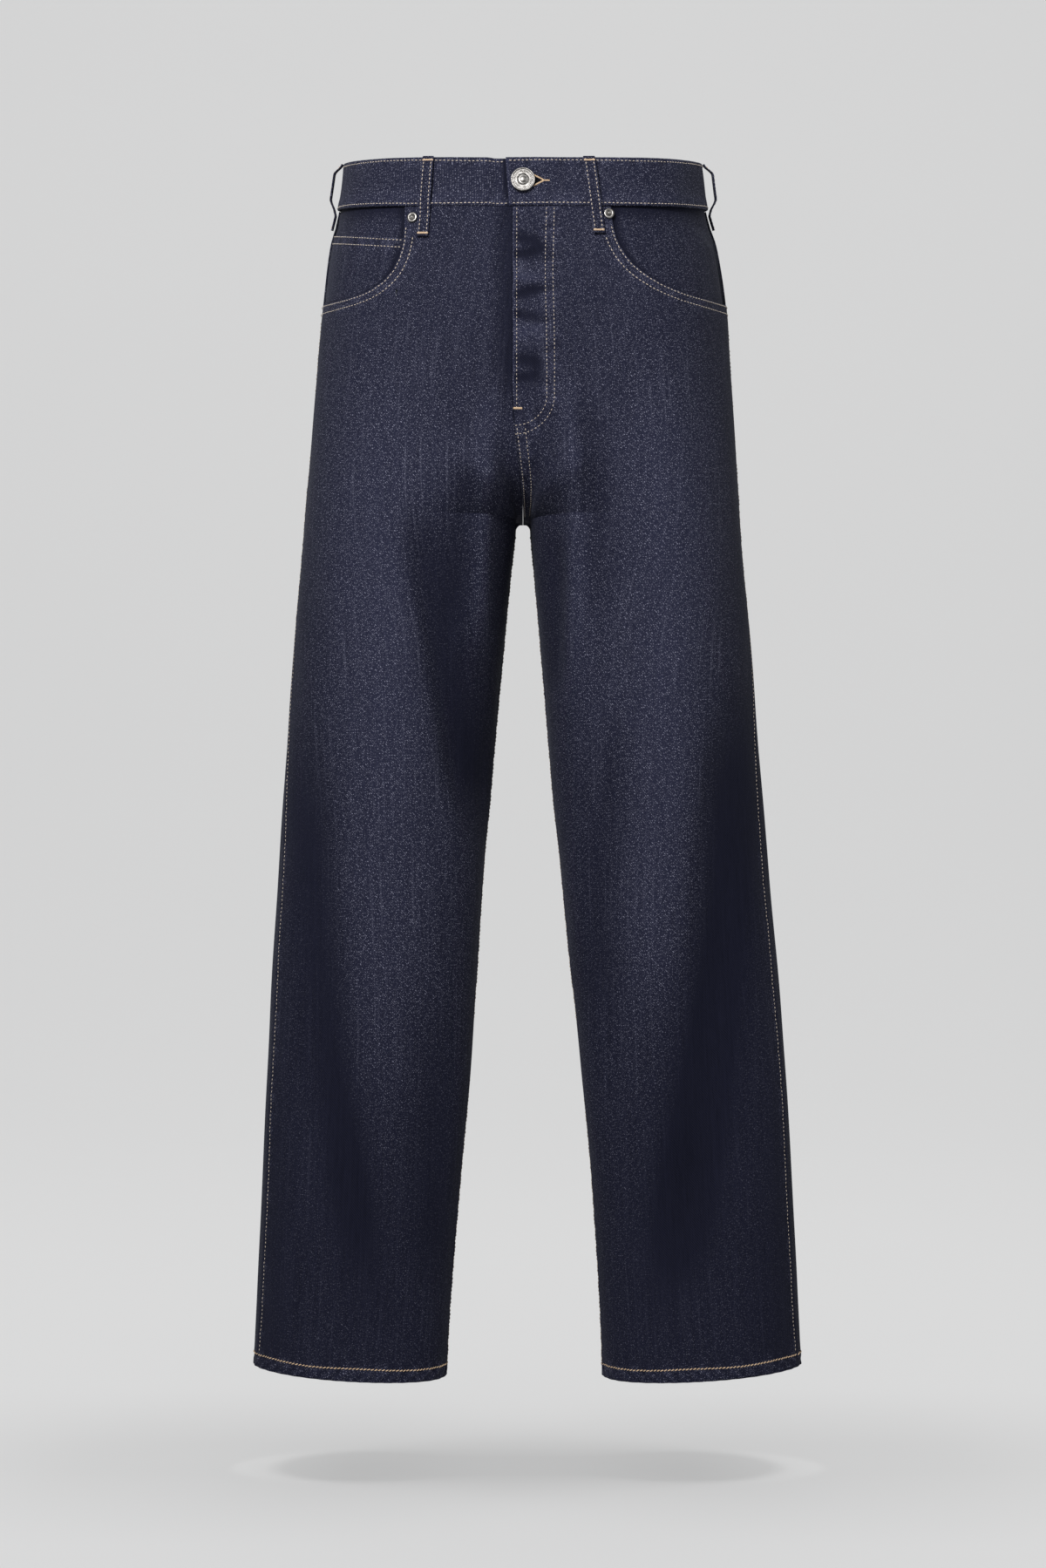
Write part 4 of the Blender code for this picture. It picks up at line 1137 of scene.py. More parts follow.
    def back_lift(self, side: Side, along: Array, level: Array) -> Array:
        """The seam allowances and the uneven cloth of a back."""
        form = self.tailor.form
        from_outseam = along - form.outseam(side, level)
        from_end = self.centre_back(side, level) - along
        lift = ALLOWANCE_LIFT * smooth(1 - from_outseam / ALLOWANCE) ** 0.5
        lift = lift + SEAT_LIFT * smooth(1 - from_end / SEAT_ALLOWANCE) ** 0.5
        return lift + self.tailor.ripple(side, along, level) + self.rope(along, level)[0]

    def yoke_lift(self, side: Side, along: Array, level: Array) -> Array:
        """The lap of a yoke over the back panel."""
        form = self.tailor.form
        outseam = form.outseam(side, level)
        share = (along - outseam) / (self.centre_back(side, level) - outseam)
        low = mix(YOKE_AT_SIDE, YOKE_AT_BACK, share)
        return 0.0006 * smooth(1 - (level - low) / 0.011) ** 0.5 + self.tailor.ripple(side, along, level)

    def fade_and_painted_shading(self, side: Side, along: Array, level: Array) -> Array:
        """Colour washed out of the thighs, the seat and the calves, with painted light towards the waist,
        painted shade towards the hems and beside the outseam, and painted shade in fold troughs with painted
        highlight on fold ridges.
        """
        form = self.tailor.form
        from_outseam = form.outseam(side, level) - along
        thigh = bell(from_outseam - 0.135, 0.052) * smooth((-0.10 - level) / 0.14)
        thigh = thigh * smooth((level + 0.86) / 0.50)
        seat = bell(from_outseam + 0.120, 0.055) * bell(level + 0.20, 0.09)
        calf = bell(from_outseam + 0.110, 0.045) * bell(level + 0.60, 0.18)
        here, normal = form.frame(side, along, level)
        height = form.fold_height(side, -normal[..., 1], side.value * here[..., 0], here[..., 2], FOLDS)
        # Painted shade in fold troughs and painted highlight on fold ridges.
        folds = 38 * np.clip(height, -0.010, 0.0035)
        # Painted shade beside the outseam, where the leg turns to the side.
        edge = bell(from_outseam, 0.030)
        # Painted shade, darker towards the hems.
        low = smooth((-0.60 - level) / 0.36)
        # Painted light, paler towards the waist.
        waist = smooth((level + 0.22) / 0.14)
        # Washed-out thighs, seat and calves, plus the painted light at the waist.
        rubbed_and_lit = 0.02 + 0.07 * waist + 0.18 * thigh + 0.20 * seat + 0.12 * calf
        return rubbed_and_lit - 0.12 * low - 0.10 * edge + folds

    def front(self, side: Side) -> bpy.types.Object:
        """A front panel, from the fly to the outseam, with its top cut down to the pocket mouth."""
        form = self.tailor.form
        angles = np.concatenate([np.linspace(0, 60, 11), np.linspace(60, 86, 13)[1:],
                                 np.array([87.6, 88.8, 89.5, 90.0])])
        mouth_level, mouth_along = self.pocket_mouth(side, angles)
        start, edge = self.centre_front(side, mouth_level), form.outseam(side, mouth_level) - SEAM_GAP / 2
        mouth_share = (mouth_along - start) / (edge - start)
        mouth_share[-1] = 1.0
        counted = self.closest * np.arange(len(angles))
        orderly = np.maximum.accumulate(mouth_share - counted) + counted
        orderly = orderly[0] + (orderly - orderly[0]) * (1 - orderly[0]) / (orderly[-1] - orderly[0])
        inner = self.front_columns - len(angles)
        inner_share = np.interp(np.linspace(0, 1, inner + 1)[:-1], [0, 0.16, 1], [0, 0.08, 1])
        inner_share = inner_share * mouth_share[0]
        top_share = np.concatenate([inner_share, mouth_share])
        tidy_share = np.concatenate([inner_share, orderly])
        top_level = np.concatenate([np.full(inner, mouth_level[0]), mouth_level]) - SEAM_GAP / 2
        levels = self.leg_levels(LEG_TOP)
        rise = np.linspace(0, 1, 45)[1:, None]
        level = np.concatenate([levels[:, None] + 0 * top_level, mix(levels[-1], top_level, rise)])
        near_top = np.concatenate([np.zeros((len(levels), 1)), smooth(rise)])
        share = mix(tidy_share, top_share, near_top)
        number = np.arange(len(top_share))
        room = np.concatenate([[0.0], np.cumsum(np.where(angles[1:] <= 60, self.turning, self.closest))])
        at_mouth = np.interp(-level[:, inner:], -top_level[inner:], np.arange(len(angles)))
        gap = np.interp(at_mouth, np.arange(len(angles)), room) - room
        limit = np.interp(at_mouth, np.arange(len(angles)), mouth_share) - np.maximum(gap, 0)
        beside = np.minimum(share[:, inner:], limit)
        share = np.concatenate([share[:, :inner] / share[:, inner:inner + 1] * beside[:, :1], beside], axis=1)
        share = mix(share, self.edged(len(top_share)), smooth((levels[-1] - level) / 0.16))
        flat = level.ravel()
        from_outseam = self.spaced(partial(self.front_width, side), 1 - share.ravel(), flat)
        from_outseam = from_outseam.reshape(level.shape)
        along = form.outseam(side, flat).reshape(level.shape) - SEAM_GAP / 2 - from_outseam
        relief, wear_and_shading = self.tailor.relief(Layer.FRONT, side, along, level)
        lift = self.front_lift(side, along, level)
        if side is Side.LEFT:
            # Painted shade in the fly's crease troughs and painted highlight on their ridges.
            wear_and_shading = wear_and_shading + 260 * self.fly_creases(along - self.centre_front(side, level), level)
            fly_fold = bell(along - self.centre_front(side, level), 0.0012)
            wear_and_shading = wear_and_shading + 0.30 * fly_fold * smooth((level + 0.20) / 0.01)
        else:
            shade = smooth((0.022 - along + self.centre_front(side, level)) / 0.022)
            wear_and_shading = wear_and_shading - 0.30 * shade * smooth((level + 0.22) / 0.05)
        lip = np.abs(top_level - level) * (number >= inner) + 1.0 * (number < inner)
        wear_and_shading = wear_and_shading + 0.20 * bell(lip, 0.0012)
        wear_and_shading = wear_and_shading + self.fade_and_painted_shading(side, along, level) + self.rope(along, level)[1]
        return self.tailor.shell("front_" + side.word, side, along, level, relief + lift, CLOTH,
                                 wear_and_shading, ["jeans_waistband"])

    def back_grid(self, side: Side, levels: Array, share: Array) -> Array:
        """Along for a share of the way from the outseam to the seat seam."""
        form = self.tailor.form
        flat = levels.ravel()
        from_outseam = self.spaced(partial(self.back_width, side), share.ravel(), flat)
        along = form.outseam(side, flat) + SEAM_GAP / 2 + from_outseam
        return along.reshape(levels.shape)

    def back(self, side: Side) -> bpy.types.Object:
        """A back panel, from the outseam to the seat seam, up to the yoke."""
        levels = np.concatenate([self.leg_levels(LEG_TOP), np.linspace(LEG_TOP, YOKE_AT_SIDE, 26)[1:]])
        share = self.edged(self.back_columns)[None, :] + 0 * levels[:, None]
        lift = smooth((levels + 0.22) / (YOKE_AT_SIDE + 0.22))[:, None]
        level = levels[:, None] + (mix(YOKE_AT_SIDE, YOKE_AT_BACK, share) - YOKE_AT_SIDE) * lift
        along = self.back_grid(side, level, share)
        relief, wear_and_shading = self.tailor.relief(Layer.BACK, side, along, level)
        wear_and_shading = wear_and_shading + self.fade_and_painted_shading(side, along, level) + self.rope(along, level)[1]
        return self.tailor.shell("back_" + side.word, side, along, level,
                                 relief + self.back_lift(side, along, level), CLOTH, wear_and_shading,
                                 ["jeans_yoke_" + side.word])

    def yoke(self, side: Side) -> bpy.types.Object:
        """A yoke, between the back panel and the waistband, lapped over the back panel."""
        share = self.edged(self.back_columns)[None, :] + np.zeros((self.yoke_rows, 1))
        low = mix(YOKE_AT_SIDE, YOKE_AT_BACK, share) + SEAM_GAP / 2
        level = mix(low, WAIST_SEAM - SEAM_GAP / 2, np.linspace(0, 1, self.yoke_rows)[:, None])
        along = self.back_grid(side, level, share)
        relief, wear_and_shading = self.tailor.relief(Layer.YOKE, side, along, level)
        wear_and_shading = wear_and_shading + 0.45 * bell(level - low, 0.0012)
        return self.tailor.shell("yoke_" + side.word, side, along, level,
                                 relief + self.yoke_lift(side, along, level), CLOTH, wear_and_shading,
                                 ["jeans_waistband"])

    def hem(self, side: Side) -> bpy.types.Object:
        """The turned-up hem: a rolled lower edge and the turning inside the leg."""
        form = self.tailor.form
        outline = np.array([
            (0.0005, 0.0), (0.0, -0.0001), (-0.0004, -0.0009), (-0.0004, -0.0019), (0.0, -0.0027),
            (0.0008, -0.0030), (0.0040, -0.0030), (HEM_TURN, -0.0030), (HEM_TURN, -0.0019),
            (0.0040, -0.0019), (0.0012, -0.0010),
        ])
        offset, depth = outline.T
        level = HEM + offset[:, None] + np.zeros((1, self.hem_columns))
        around = np.linspace(0, 1, self.hem_columns)[None, :] * form.lengths(side, HEM)[1][0]
        along = around + 0 * level
        roll = self.rope(along, HEM + 0.0006 + 0 * level)[0] * (offset < 0.002)[:, None]
        return self.tailor.strip("hem_" + side.word, side, along, level,
                                 depth[:, None] + roll, 0.12, ["jeans_front_" + side.word], outer=8)

    def mouth_lines(self, side: Side) -> list[Row]:
        """The two rows beside a pocket mouth."""
        form = self.tailor.form
        level, along = self.pocket_mouth(side, np.linspace(2, 90, 120))
        way = np.stack([np.gradient(along), np.gradient(level)], -1)
        way /= np.linalg.norm(way, axis=1, keepdims=True)
        rows = []
        for gap, start, seed in zip(self.mouth_rows, (-0.0390, -0.0480), (0.3, 0.9)):
            a, l = along + way[:, 1] * gap, level - way[:, 0] * gap
            keep = (l < start) & (a < form.outseam(side, l) - 0.0008)
            rows.append(Row(Layer.FRONT, side, a[keep], l[keep], self.front_lift, seed=seed))
        return rows

    def fly_lines(self) -> list[Row]:
        """The J of the fly, the row beside its edge and the double rows of the seam below."""
        rows = []
        left = Side.LEFT
        top = np.linspace(WAIST_SEAM - 0.0006, J_LOW, 60)
        turn = np.radians(np.linspace(0, 90, 40))[1:]
        for out, drop in ((0.0195, 0.0235), (0.0258, 0.0305)):
            sway = -0.0013 * bell(top + 0.078, 0.035)
            start_x = CENTRE_FRONT + 0.0012
            along = np.concatenate([out + sway, start_x + (out - start_x) * np.cos(turn)])
            level = np.concatenate([top, J_LOW - drop * np.sin(turn) ** 1.05])
            rows.append(Row(Layer.FRONT, left, along, level, self.front_lift, pucker=0.0003, seed=out * 900))
        level = np.linspace(WAIST_SEAM - 0.0006, FLY_TACK - 0.001, 60)
        beside = CENTRE_FRONT + 0.0034 + 0 * level
        rows.append(Row(Layer.FRONT, left, beside, level, self.front_lift, seed=4.0))
        for gap in (0.0014, 0.0080):
            level = np.linspace(J_LOW - 0.0250, CROTCH + 0.003, 50)
            edge = self.centre_front(left, level)
            rows.append(Row(Layer.FRONT, left, edge + gap, level, self.front_lift, seed=gap * 700))
        return rows

    def outseam_lines(self, side: Side) -> list[Row]:
        """The single row along an outseam, on the front, above and below the fork."""
        rows = []
        for top, low in ((POCKET_CORNER - 0.012, CROTCH + 0.0004), (CROTCH - 0.0004, HEM + 0.0135)):
            level = np.linspace(top, low, 120)
            along = self.tailor.form.outseam(side, level) - self.edge_row
            rows.append(Row(Layer.FRONT, side, along, level, self.front_lift, pucker=0.0003, seed=side.value))
        return rows

    def inseam_lines(self, side: Side) -> list[Row]:
        """The double rows along an inseam, on the back."""
        level = np.linspace(CROTCH - 0.010, HEM + 0.0135, 160)
        return [
            Row(Layer.BACK, side, self.centre_back(side, level) - gap, level, self.back_lift, seed=gap * 500)
            for gap in (self.edge_row, self.second_row)
        ]

    def seat_lines(self) -> list[Row]:
        """The double rows beside the seat seam, over the back and the yoke."""
        rows = []
        for gap in (self.edge_row, self.second_row):
            for layer, top, low, surface in (
                (Layer.BACK, YOKE_AT_BACK - 0.001, CROTCH + 0.004, self.back_lift),
                (Layer.YOKE, WAIST_SEAM - 0.001, YOKE_AT_BACK + 0.002, self.yoke_lift),
            ):
                level = np.linspace(top, low, 80)
                along = self.centre_back(Side.LEFT, level) - gap
                rows.append(Row(layer, Side.LEFT, along, level, surface, seed=gap * 400))
        return rows

    def yoke_lines(self, side: Side) -> list[Row]:
        """The double rows along a yoke's lower edge."""
        share = np.linspace(0.004, 0.996, 90)
        low = mix(YOKE_AT_SIDE, YOKE_AT_BACK, share)
        return [
            Row(Layer.YOKE, side, self.back_grid(side, low + gap, share), low + gap, self.yoke_lift,
                seed=gap * 300)
            for gap in (self.edge_row, self.second_row)
        ]

    def hem_lines(self, side: Side) -> list[Row]:
        """The row round a hem."""
        form = self.tailor.form
        rows = []
        edge = float(form.outseam(side, np.array([HEM]))[0])
        low = np.array([HEM])
        first, last = self.centre_front(side, low)[0], self.centre_back(side, low)[0]
        for layer, start, end, surface in ((Layer.FRONT, first, edge, self.front_lift),
                                           (Layer.BACK, edge, last, self.back_lift)):
            along = np.linspace(start + 0.0008, end - 0.0008, 120)
            level = HEM + HEM_ROW + 0.0004 * np.sin(along / 0.013)
            rows.append(Row(layer, side, along, level, surface, pucker=0.0002, seed=1.0))
        return rows

    def lines(self) -> dict[str, list[Row]]:
        """Every row of stitches on the panels, by the piece of thread that it belongs to."""
        found = {"fly": self.fly_lines(), "seat": self.seat_lines()}
        for side in Side:
            found["mouth_" + side.word] = self.mouth_lines(side)
            found["outseam_" + side.word] = self.outseam_lines(side)
            found["inseam_" + side.word] = self.inseam_lines(side)
            found["yoke_" + side.word] = self.yoke_lines(side)
            found["hem_" + side.word] = self.hem_lines(side)
        return found

    def fly_tack(self) -> Row:
        """The bar tack at the foot of the fly."""
        along = np.linspace(CENTRE_FRONT + 0.0006, CENTRE_FRONT + 0.0078, 12)
        return Row(Layer.FRONT, Side.LEFT, along, FLY_TACK + 0 * along, self.front_lift)


@dataclass
class Pockets:
    """The facings in the pocket mouths, the coin pocket and the back pockets."""

    tailor: Tailor
    panels: Panels
    coin_top: float = -0.0430
    coin_dip: float = 0.0066
    patch_low: float = -0.250
    patch_top: float = -0.110
    patch_out: float = 0.0930
    patch_half_low: float = 0.062
    patch_half_top: float = 0.073

    def facing_surface(self, side: Side, along: Array, level: Array) -> Array:
        """Depth of a facing: deep in the mouth, rising to the waist seam, slightly creased."""
        rise = smooth((level - COIN_TOP - 0.004) / 0.014)
        crease = 0.0004 * np.sin((along * 0.6 + level * 1.3) / 0.0052) * smooth((level + 0.075) / 0.03)
        return mix(FACING_DEPTH, FACING_DEPTH_AT_WAIST, rise) + crease * (1 - rise)

    def coin_surface(self, side: Side, along: Array, level: Array) -> Array:
        """Depth of the coin pocket."""
        return np.full(np.shape(level), FACING_DEPTH + SEAM_GAP + FACING_CLOTH + 0.0002)

    def shade_behind_mouth(self, side: Side, along: Array, level: Array) -> Array:
        """1 behind a front, falling to 0 in the open mouth: the mask of painted shade cast by the front's
        mouth edge on the cloth behind it.
        """
        return smooth((self.panels.mouth_at(side, level) + MOUTH_SHADE - along) / MOUTH_SHADE)

    def facing(self, side: Side) -> bpy.types.Object:
        """The pocket facing."""
        level = np.linspace(POCKET_CORNER - 0.014, WAIST_SEAM + 0.004, 44)
        inner = self.panels.mouth_at(side, np.maximum(level, MOUTH_FOOT)) - 0.016
        outer = self.tailor.form.outseam(side, level) + 0.005
        along = mix(inner[:, None], outer[:, None], np.linspace(0, 1, 44))
        level = level[:, None] + 0 * along
        relief, wear_and_shading = self.tailor.relief(Layer.FACING, side, along, level)
        shade_behind_mouth = self.shade_behind_mouth(side, along, level)
        # Painted shade behind the mouth's edge and under the waistband.
        wear_and_shading = wear_and_shading + 0.06 - 0.45 * shade_behind_mouth - 0.30 * bell(level - WAIST_SEAM, 0.005)
        return self.tailor.shell("pocket_facing_" + side.word, side, along, level,
                                 self.facing_surface(side, along, level) + relief, FACING_CLOTH, wear_and_shading,
                                 ["jeans_waistband"])

    def coin_edge(self, share: Array) -> Array:
        """Level of the coin pocket's top edge, from the mouth (0) to the outseam (1)."""
        return self.coin_top - self.coin_dip * (1 - share) ** 1.7

    def coin_span(self, level: Array) -> tuple[Array, Array]:
        """Where the coin pocket starts and ends along the section."""
        inner = self.panels.mouth_at(Side.RIGHT, np.maximum(level, MOUTH_FOOT)) - 0.010
        return inner, self.tailor.form.outseam(Side.RIGHT, level) - 0.0015

    def coin(self) -> bpy.types.Object:
        """The coin pocket, its top edge turned under."""
        share = np.linspace(0, 1, 60)[None, :]
        down = np.linspace(0, 1, 30)[:, None] ** 1.3
        level = mix(self.coin_edge(share), POCKET_CORNER - 0.006, down) + 0 * share
        inner, outer = self.coin_span(level.ravel())
        along = mix(inner.reshape(level.shape), outer.reshape(level.shape), share)
        relief, wear_and_shading = self.tailor.relief(Layer.COIN, Side.RIGHT, along, level)
        edge = self.coin_edge(share) - level
        depth = self.coin_surface(Side.RIGHT, along, level) - 0.0006 * bell(edge, 0.0006)
        shade_behind_mouth = self.shade_behind_mouth(Side.RIGHT, along, level)
        # Painted shade behind the mouth's edge; the paler top edge is abrasion.
        wear_and_shading = wear_and_shading + 0.06 - 0.45 * shade_behind_mouth + 0.16 * bell(edge, 0.0010)
        return self.tailor.shell("coin_pocket", Side.RIGHT, along, level, depth + relief,
                                 FACING_CLOTH, wear_and_shading, ["jeans_pocket_facing_right"])

    def coin_lines(self) -> list[Row]:
        """The double rows along the coin pocket's top edge."""
        share = np.linspace(0, 1, 60)
        rows = []
        for gap in (0.0016, 0.0078):
            level = self.coin_edge(share) - gap
            inner = self.panels.mouth_at(Side.RIGHT, level) - 0.002
            outer = self.coin_span(level)[1]
            rows.append(Row(Layer.COIN, Side.RIGHT, mix(inner, outer, share), level, self.coin_surface,
                            seed=gap * 900))
        return rows

    def patch_place(self, side: Side, across: Array, up: Array) -> tuple[Array, Array]:
        """Along and level of a place on a back pocket: across from -1 to 1, up from 0 to 1."""
        across, up = np.broadcast_arrays(across, up)
        low = self.patch_low + 0.014 * np.abs(across)
        level = mix(low, self.patch_top - 0.012 * across, up)
        half = self.tailor.form.lengths(side, level)[1]
        return half - self.patch_out + across * mix(self.patch_half_low, self.patch_half_top, up), level

    def patch_surface(self, side: Side, along: Array, level: Array) -> Array:
        """Depth of a back pocket's outside."""
        return CLOTH + 0.0016 + self.tailor.ripple(side, along, level)

    def patch(self, side: Side) -> bpy.types.Object:
        """A plain back pocket, its edges turned under."""
        across = Panels.edged(60)[None, :] * 2 - 1
        up = Panels.edged(64)[:, None]
        along, level = self.patch_place(side, across, up)
        relief, wear_and_shading = self.tailor.relief(Layer.PATCH, side, along, level)
        edge = np.minimum((1 - np.abs(across)) * PATCH_ACROSS, np.minimum(up, 1 - up) * PATCH_DOWN)
        depth = self.patch_surface(side, along, level) - 0.0009 * bell(edge, 0.0008)
        wear_and_shading = wear_and_shading + 0.24 * bell(edge, 0.0016)
        return self.tailor.shell("back_pocket_" + side.word, side, along, level, depth + relief, CLOTH,
                                 wear_and_shading, ["jeans_back_" + side.word])

    def patch_lines(self, side: Side) -> list[Row]:
        """The double rows down the sides and round the foot of a back pocket, and along its top."""
        rows = []
        for gap in (0.0020, 0.0084):
            across, up = 1 - gap / PATCH_ACROSS, gap / PATCH_DOWN
            sides = np.linspace(0.985, up, 60)
            foot = np.linspace(-across, across, 61)[1:-1]
            path_across = np.concatenate([np.full(60, -across), foot, np.full(60, across)])
            path_up = np.concatenate([sides, np.full(59, up), sides[::-1]])
            along, level = self.patch_place(side, path_across, path_up)
            rows.append(Row(Layer.PATCH, side, along, level, self.patch_surface, seed=gap * 600))
        for drop in (0.0022, 0.0120):
            across, up = np.linspace(-0.965, 0.965, 60), np.full(60, 1 - drop / PATCH_DOWN)
            along, level = self.patch_place(side, across, up)
            rows.append(Row(Layer.PATCH, side, along, level, self.patch_surface, seed=drop * 600))
        return rows


@dataclass
class Waist:
    """The waistband, the strip behind the fly and the belt loops."""

    tailor: Tailor
    low_row: float = WAIST_SEAM + 0.0024
    top_row: float = WAIST_TOP - 0.0030
    hole_start: float = 0.0085
    hole_meet: float = 0.0166
    hole_end: float = 0.0216
    hole_half: float = 0.0042
    loop_width: float = 0.0093
    loop_cloth: float = 0.0015
    loop_top: float = 0.0168
    side_loop_low: float = -0.0400
    side_loop_back: float = 0.004
    front_rise: float = 0.0014
    side_rise: dict = field(default_factory=lambda: {Side.RIGHT: 0.0056, Side.LEFT: 0.0068})
    front_loops: dict = field(default_factory=lambda: {
        Side.RIGHT: (0.0766, 0.0816, -0.0488), Side.LEFT: (0.0537, 0.0623, -0.0459)})

    def whole(self, level: Array) -> Array:
        """The whole way round the waist."""
        form = self.tailor.form
        return form.lengths(Side.LEFT, level)[1] + form.lengths(Side.RIGHT, level)[1]

    def band_surface(self, side: Side, along: Array, level: Array) -> Array:
        """Depth of the waistband's outside: its button end dives under the other."""
        dive = smooth((along - self.whole(level) - LAP_START) / 0.009)
        hollow = 0.0006 * np.sin(along / 0.0140 + 1.4 * np.sin(along / 0.031)) * bell(level, 0.012)
        allowance = 0.0004 * smooth((WAIST_SEAM + 0.012 - level) / 0.006)
        uneven = self.tailor.ripple(side, along, level) * 0.8
        return WAISTBAND_OUT + LAP_DEPTH * dive + hollow + allowance + uneven

    def inside_hole(self, along: Array, level: Array) -> Array:
        """1 inside the open part of the buttonhole."""
        narrow = np.clip((self.hole_meet - along) / (self.hole_meet - self.hole_start), 0, 1)
        open_half = (self.hole_half - 0.0004) * narrow
        return smooth((open_half - np.abs(level - BUTTON_LEVEL)) / 0.0006) * (along > -0.006)

    def band(self) -> bpy.types.Object:
        """The waistband: one folded strip from its buttonhole end, all the way round and under itself."""
        outer, inner = 34, 8
        half = (WAISTBAND_OUT - WAISTBAND_IN) / 2
        place, depth = stadium(WAIST_SEAM + SEAM_GAP, WAIST_TOP, -half, half, outer, inner)
        level = place[:, None]
        share = (level - WAIST_SEAM) / (WAIST_TOP - WAIST_SEAM)
        start, end = mix(LAP_EDGE_LOW, LAP_EDGE_TOP, share), self.whole(level)
        tip = np.array([0.0, 0.0006, 0.0014, 0.0026])
        near = np.linspace(0.0036, 0.036, 60)
        far = np.linspace(0, 1, 330)[1:]
        from_start = np.concatenate([tip, near])[None, :]
        rest = start + from_start[:, -1:]
        along = np.concatenate([start + from_start, rest + (end + LAP_REACH - rest) * far], axis=1)
        level = level + 0 * along
        relief, wear_and_shading = self.tailor.relief(Layer.BAND, Side.LEFT, along, level)
        front = (depth > -half)[:, None]
        hole = self.inside_hole(along, level) * front
        edge_round = 0.0008 * (1 - smooth((along - start) / 0.0010) ** 0.5) * front
        total = depth[:, None] + self.band_surface(Side.LEFT, along, level) + relief * front - edge_round
        total = total - 0.0016 * hole
        # The band's end edge is paler from abrasion; the open buttonhole is dark with painted shade.
        wear_and_shading = (wear_and_shading + 0.34 * bell(along - start, 0.0011) - 1.2 * hole) * front
        # Painted light: the whole band is paler, as the top of the jeans is lit more; its top edge is paler
        # from abrasion.
        wear_and_shading = wear_and_shading + 0.10 + 0.10 * bell(level - WAIST_TOP, 0.002)
        # Painted highlight where the band bulges near its lower edge.
        wear_and_shading = wear_and_shading + 0.10 * bell(level - WAIST_SEAM - 0.006, 0.006)
        # Painted shade where the band runs under its other end.
        over = end + mix(LAP_EDGE_LOW, LAP_EDGE_TOP, share) - 0.0010
        wear_and_shading = wear_and_shading - 0.5 * smooth((along - over + 0.004) / 0.004)
        return self.tailor.strip("waistband", Side.LEFT, along, level, total, wear_and_shading,
                                 ["jeans_yoke_right", "jeans_yoke_left"], outer + 4)

    def band_lines(self) -> list[Row]:
        """The rows along the waistband's lower and upper edges."""
        rows = []
        for level_at, edge in ((self.low_row, LAP_EDGE_LOW), (self.top_row, LAP_EDGE_TOP)):
            end = self.whole(np.array([level_at]))[0] + edge - 0.0012
            along = np.linspace(edge + 0.0022, end, 400)
            level = level_at + 0.0003 * np.sin(along / 0.023)
            rows.append(Row(Layer.BAND, Side.LEFT, along, level, self.band_surface, seed=level_at * 90))
        return rows

    def hole_lines(self) -> list[Row]:
        """The corded edges of the buttonhole and the bar that closes it."""
        level = BUTTON_LEVEL
        leg = np.linspace(self.hole_start, self.hole_meet, 14)
        spread = self.hole_half * (self.hole_meet - leg) / (self.hole_meet - self.hole_start) + 0.0004
        bar = np.linspace(self.hole_meet - 0.0008, self.hole_end, 12)
        return [
            Row(Layer.BAND, Side.LEFT, leg, level + spread, self.band_surface),
            Row(Layer.BAND, Side.LEFT, leg, level - spread, self.band_surface),
            Row(Layer.BAND, Side.LEFT, bar, level + 0 * bar, self.band_surface),
        ]

    def underlap(self) -> bpy.types.Object:
        """The strip behind the fly opening, darkened all over with painted shade."""
        level = np.linspace(-0.195, WAIST_SEAM - SEAM_GAP / 2, 60)[:, None]
        along = np.linspace(-0.030, 0.028, 20)[None, :] + 0 * level
        # Painted shade: the whole strip is darkened.
        return self.tailor.shell("fly_underlap", Side.LEFT, along, level + 0 * along,
                                 -0.0032, CLOTH, -0.2, ["jeans_waistband"])

    def loop_middle(self, name: str, side: Side, level: Array) -> Array:
        """Where a belt loop's centre line lies along the section."""
        form = self.tailor.form
        if name == "front":
            x_top, x_low, low = self.front_loops[side]
            lean = (self.loop_top - level) / (self.loop_top - low)
            return form.along_at(side, mix(x_top, x_low, lean), level)
        if name == "side":
            return form.lengths(side, level)[0] + self.side_loop_back
        return form.lengths(side, level)[1]

    def loop_surface(self, rise: float) -> Surface:
        """Depth of a belt loop's outside: flat at its tacks, proud in between."""
        def read(side: Side, along: Array, level: Array) -> Array:
            """Depth at each place."""
            touching = WAISTBAND_OUT * smooth((level - WAIST_SEAM + 0.005) / 0.004) + 0.0012
            proud = smooth((level - WAIST_SEAM + 0.003) / 0.013) * smooth((self.loop_top - level) / 0.010)
            return touching + self.loop_cloth + rise * proud

        return read

    def loop_facts(self, name: str, side: Side) -> tuple[float, float]:
        """A belt loop's low end and how proud it stands."""
        if name == "front":
            return self.front_loops[side][2], self.front_rise
        return self.side_loop_low, self.side_rise[side] if name == "side" else self.front_rise

